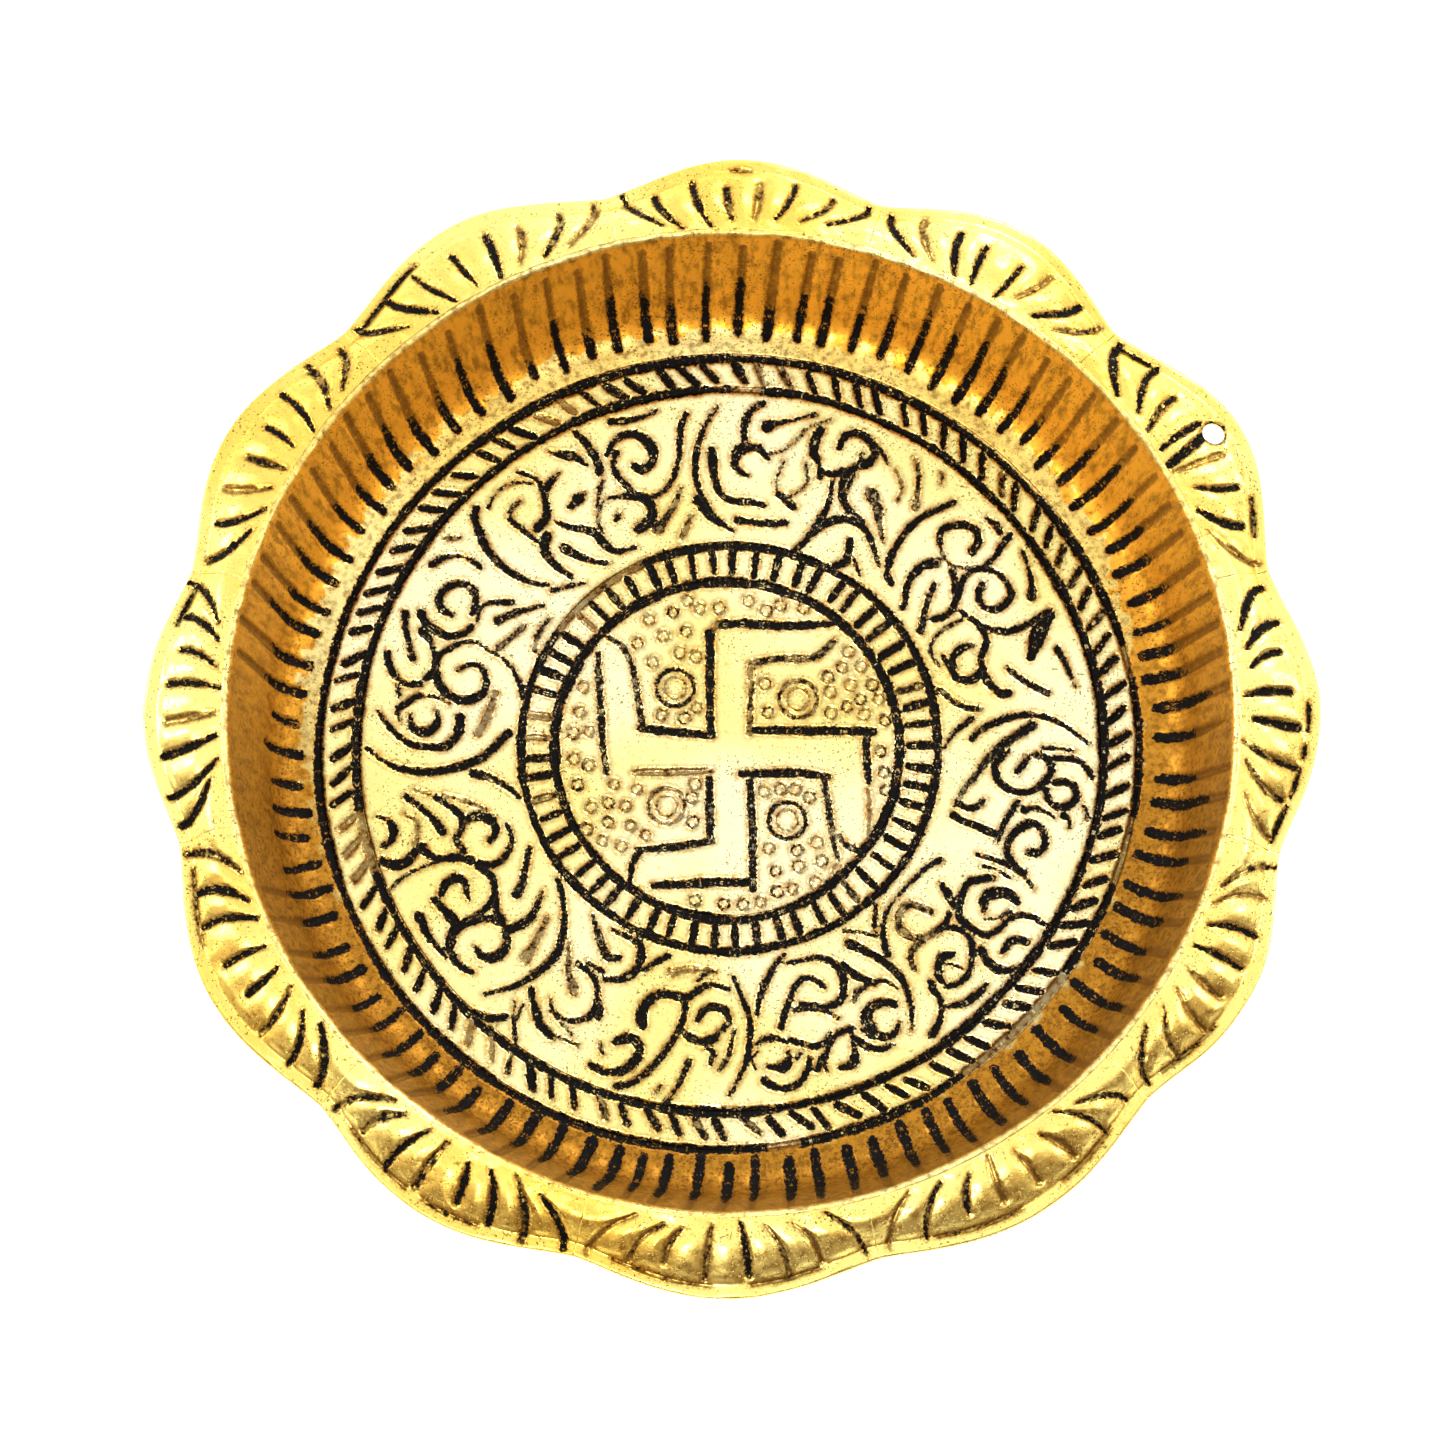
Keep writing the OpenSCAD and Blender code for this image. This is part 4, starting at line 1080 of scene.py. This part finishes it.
def brass(name, gold, pale, deep, streaks, stain_share, painted_shade_width, tone_colour=None):
    """Polished brass with black in the chased strokes, brown painted shade beside them, pits and
    scratches.
    """
    made = bpy.data.materials.new(name)
    made.use_nodes = True
    g = Graph(made.node_tree)
    bsdf = made.node_tree.nodes["Principled BSDF"]
    where = g.tree.nodes.new("ShaderNodeTexCoord").outputs["Object"]
    edge = g.attribute("edge")
    wear = g.attribute("wear")
    along = g.attribute("along")
    fine = g.noise(where, 2300, 3, 0.65)
    medium = g.noise(where, 900, 3, 0.6)
    coarse = g.noise(where, 110, 3, 0.55)
    # Edge of the black, ragged by the noise.
    ragged = g.math("ADD", edge, g.math("MULTIPLY", g.math("SUBTRACT", fine, 0.5), 1.1))
    ragged = g.math("ADD", ragged, g.math("MULTIPLY", g.math("SUBTRACT", medium, 0.5), 0.6))
    ink = g.ramp(ragged, 0.07, -0.06)
    # Where a stroke is worn the black stays only in patches, and the rest is brown.
    left = g.math("SUBTRACT", g.math("MULTIPLY", medium, 1.7), g.math("MULTIPLY", wear, 0.85))
    patches = g.ramp(left, 0.12, 0.42)
    black = g.math("MULTIPLY", ink, patches)
    tool = g.node("ShaderNodeCombineXYZ", i0=g.math("MULTIPLY", along, 2.1),
                  i1=g.math("MULTIPLY", edge, 3.2), i2=medium).outputs[0]
    flecks = g.ramp(g.noise(tool, 1.0, 2, 0.6), 0.61, 0.69)
    flecks = g.math("MULTIPLY", flecks, g.ramp(edge, -0.05, -0.2))
    black = g.math("MULTIPLY", black, g.math("SUBTRACT", 1.0, g.math("MULTIPLY", flecks, 0.75)))
    # Brown inside a worn stroke is the rubbed patina; outside it is painted shade along the groove's
    # edge, standing for the darker reflections there.
    brown = g.ramp(ragged, painted_shade_width, 0.0, 0.0, 0.85)
    stain = g.math("MULTIPLY", g.math("MULTIPLY", ink, g.math("SUBTRACT", 1.0, flecks)), stain_share)
    brown = g.math("MULTIPLY", brown, g.ramp(medium, 0.30, 0.62, 0.25, 1.0))
    pit_zone = g.ramp(coarse, 0.36, 0.60)
    pits = g.math("MULTIPLY", g.ramp(g.noise(where, 3000, 2, 0.5), 0.59, 0.66), pit_zone)
    spots = g.ramp(g.noise(where, 1500, 3, 0.7), 0.63, 0.69)
    pits = g.math("MAXIMUM", pits, g.math("MULTIPLY", spots, 0.85))
    colour = g.mix(g.ramp(g.noise(where, 34, 2, 0.5), 0.35, 0.65), gold, pale)
    if tone_colour:
        # The orange tone: partly the finish, partly painted reflection of the gold floor and the
        # opposite wall.
        tone = g.math("ADD", g.attribute("tone"), g.math("SUBTRACT", fine, 0.5))
        colour = g.mix(g.ramp(tone, 0.3, 0.62), colour, tone_colour)
        stretch = g.node("ShaderNodeMapping", i0=where)
        stretch.inputs["Scale"].default_value = (1, 1, 0.12)
        lines = g.noise(stretch.outputs[0], 900, 3, 0.6)
        colour = g.mix(g.math("MULTIPLY", g.ramp(lines, 0.42, 0.72), streaks), colour, deep)
        # Painted shade on the near side of the wall, darkening it towards the deep brown in patches.
        painted_near_shade = g.attribute("painted_near_shade")
        painted_shade_patches = g.ramp(g.noise(where, 1300, 4, 0.75), 0.49, 0.60, 0.72, 1.0)
        colour = g.mix(g.math("MULTIPLY", painted_near_shade, painted_shade_patches), colour, deep)
    else:
        colour = g.mix(g.math("MULTIPLY", g.ramp(medium, 0.52, 0.78), streaks), colour, deep)
    colour = g.mix(brown, colour, BROWN)
    colour = g.mix(stain, colour, STAIN)
    colour = g.mix(g.math("MULTIPLY", pits, 0.8), colour, PIT)
    colour = g.mix(black, colour, BLACK)
    g.put(bsdf.inputs["Base Color"], colour)
    metal = g.math("SUBTRACT", 1.0, g.math("MULTIPLY", black, 0.6))
    if tone_colour:
        metal = g.math("SUBTRACT", metal, g.math("MULTIPLY", g.attribute("tone"), 0.38))
    g.put(bsdf.inputs["Metallic"], metal)
    bsdf.inputs["Specular IOR Level"].default_value = 0.12
    rough = g.ramp(medium, 0.3, 0.7, 0.25, 0.38)
    if tone_colour:
        rough = g.math("ADD", rough, 0.1)
    rough = g.math("ADD", rough, g.math("MULTIPLY", black, 0.3))
    g.put(bsdf.inputs["Roughness"], rough)
    bump = g.tree.nodes.new("ShaderNodeBump")
    bump.inputs["Strength"].default_value = 0.5
    bump.inputs["Distance"].default_value = 0.0001
    height = g.math("ADD", g.math("MULTIPLY", fine, 0.5), medium)
    height = g.math("SUBTRACT", height, g.math("MULTIPLY", pits, 0.8))
    g.put(bump.inputs["Height"], height)
    g.put(bsdf.inputs["Normal"], bump.outputs[0])
    return made


floor_brass = brass("brass_floor_finish", (0.90, 0.79, 0.27, 1), (0.98, 0.95, 0.56, 1),
                    (0.66, 0.40, 0.06, 1), 0.55, 0.7, 0.9)
rim_brass = brass("brass_rim_finish", (0.93, 0.64, 0.11, 1), (0.98, 0.84, 0.26, 1),
                  (0.62, 0.34, 0.045, 1), 0.5, 0.6, 0.6)
# The wall's orange is partly painted reflection, and its deep brown carries painted shade on the near
# side.
wall_brass = brass("brass_wall_finish_and_painted_light", (0.93, 0.69, 0.18, 1), (0.99, 0.87, 0.36, 1),
                   (0.20, 0.08, 0.006, 1), 0.7, 0.5, 0.35, (0.97, 0.46, 0.04, 1))

medallion_piece(216, floor_brass)
flat_ring("inner_band", MEDALLION_R, INNER_R, 1080, 34, 8, floor_brass)
flat_ring("scroll_field", INNER_R, SCROLL_R, 1080, 68, 18, floor_brass)
flat_ring("outer_band", SCROLL_R, FOOT_R, 1440, 28, 8, floor_brass)
wall_piece(1400, 50, 16, wall_brass)
for petal in range(12):
    petal_piece(petal, 190, 52, rim_brass)

# A plain white floor under the tray, well past the picture's edges.
plane = bpy.data.meshes.new("studio_floor")
plane.from_pydata([(-3, -3, 0), (3, -3, 0), (3, 3, 0), (-3, 3, 0)], [], [(0, 1, 2, 3)])
studio = bpy.data.objects.new("studio_floor", plane)
bpy.context.scene.collection.objects.link(studio)
white = bpy.data.materials.new("white_paper")
white.use_nodes = True
paper = white.node_tree.nodes["Principled BSDF"]
paper.inputs["Base Color"].default_value = (0.9, 0.9, 0.9, 1)
paper.inputs["Roughness"].default_value = 0.9
paper.inputs["Emission Color"].default_value = (1, 1, 1, 1)
paper.inputs["Emission Strength"].default_value = 0.4
plane.materials.append(white)

# World: bright above and behind, darker low in front, by direction only.
world = bpy.data.worlds.new("studio")
bpy.context.scene.world = world
world.use_nodes = True
g = Graph(world.node_tree)
ray = g.tree.nodes.new("ShaderNodeTexCoord").outputs["Generated"]
split = g.node("ShaderNodeSeparateXYZ", i0=ray)
lift = g.math("ADD", split.outputs[2], g.math("MULTIPLY", split.outputs[1], 0.75))
lift = g.math("SUBTRACT", lift, g.math("MULTIPLY", split.outputs[0], 0.12))
warm = g.mix(g.ramp(lift, -0.05, 0.32), (0.15, 0.065, 0.02, 1), (0.72, 0.48, 0.24, 1))
background = world.node_tree.nodes["Background"]
g.put(background.inputs["Color"], g.mix(g.ramp(lift, 0.25, 0.67), warm, (1, 1, 1, 1)))
background.inputs["Strength"].default_value = 1.16


def lamp(name, at, size, power):
    """A round soft lamp, in metres and watts, aimed at the tray's middle."""
    data = bpy.data.lights.new(name, "AREA")
    data.shape = "DISK"
    data.size = size
    data.energy = power
    lit = bpy.data.objects.new(name, data)
    lit.location = at
    lit.rotation_mode = "QUATERNION"
    lit.rotation_quaternion = (-Vector(at)).to_track_quat("-Z", "Y")
    bpy.context.scene.collection.objects.link(lit)


lamp("soft_front", (-0.3, -0.75, 1.25), 0.6, 10)
lamp("soft_back", (0.5, 1.1, 0.75), 0.7, 9)
lamp("soft_left", (-1.2, 0.3, 0.6), 0.6, 6)
lamp("soft_right", (1.2, 0.1, 0.7), 0.6, 4.5)

# The camera: 900 mm from a point 10 mm above the tray's middle, 75.8 degrees above the floor.
azimuth = math.radians(-1.0)
elevation = math.radians(75.8)
back = Vector((math.sin(azimuth) * math.cos(elevation), -math.cos(azimuth) * math.cos(elevation),
               math.sin(elevation)))
up = (Vector((0, 1, 0)) - back * back.y).normalized()
right = up.cross(back)
camera_data = bpy.data.cameras.new("camera")
camera_data.sensor_width = 36
camera_data.lens = 172.2
camera_data.clip_start = 0.05
camera_data.clip_end = 20
camera = bpy.data.objects.new("camera", camera_data)
bpy.context.scene.collection.objects.link(camera)
turned = Matrix((right, up, back)).transposed().to_4x4()
aim = Vector((0, 0, 0.01))
turned.translation = aim + back * 0.9 - right * 0.001016 + up * 0.000885
camera.matrix_world = turned
bpy.context.scene.camera = camera
bpy.context.scene.view_settings.view_transform = "Standard"
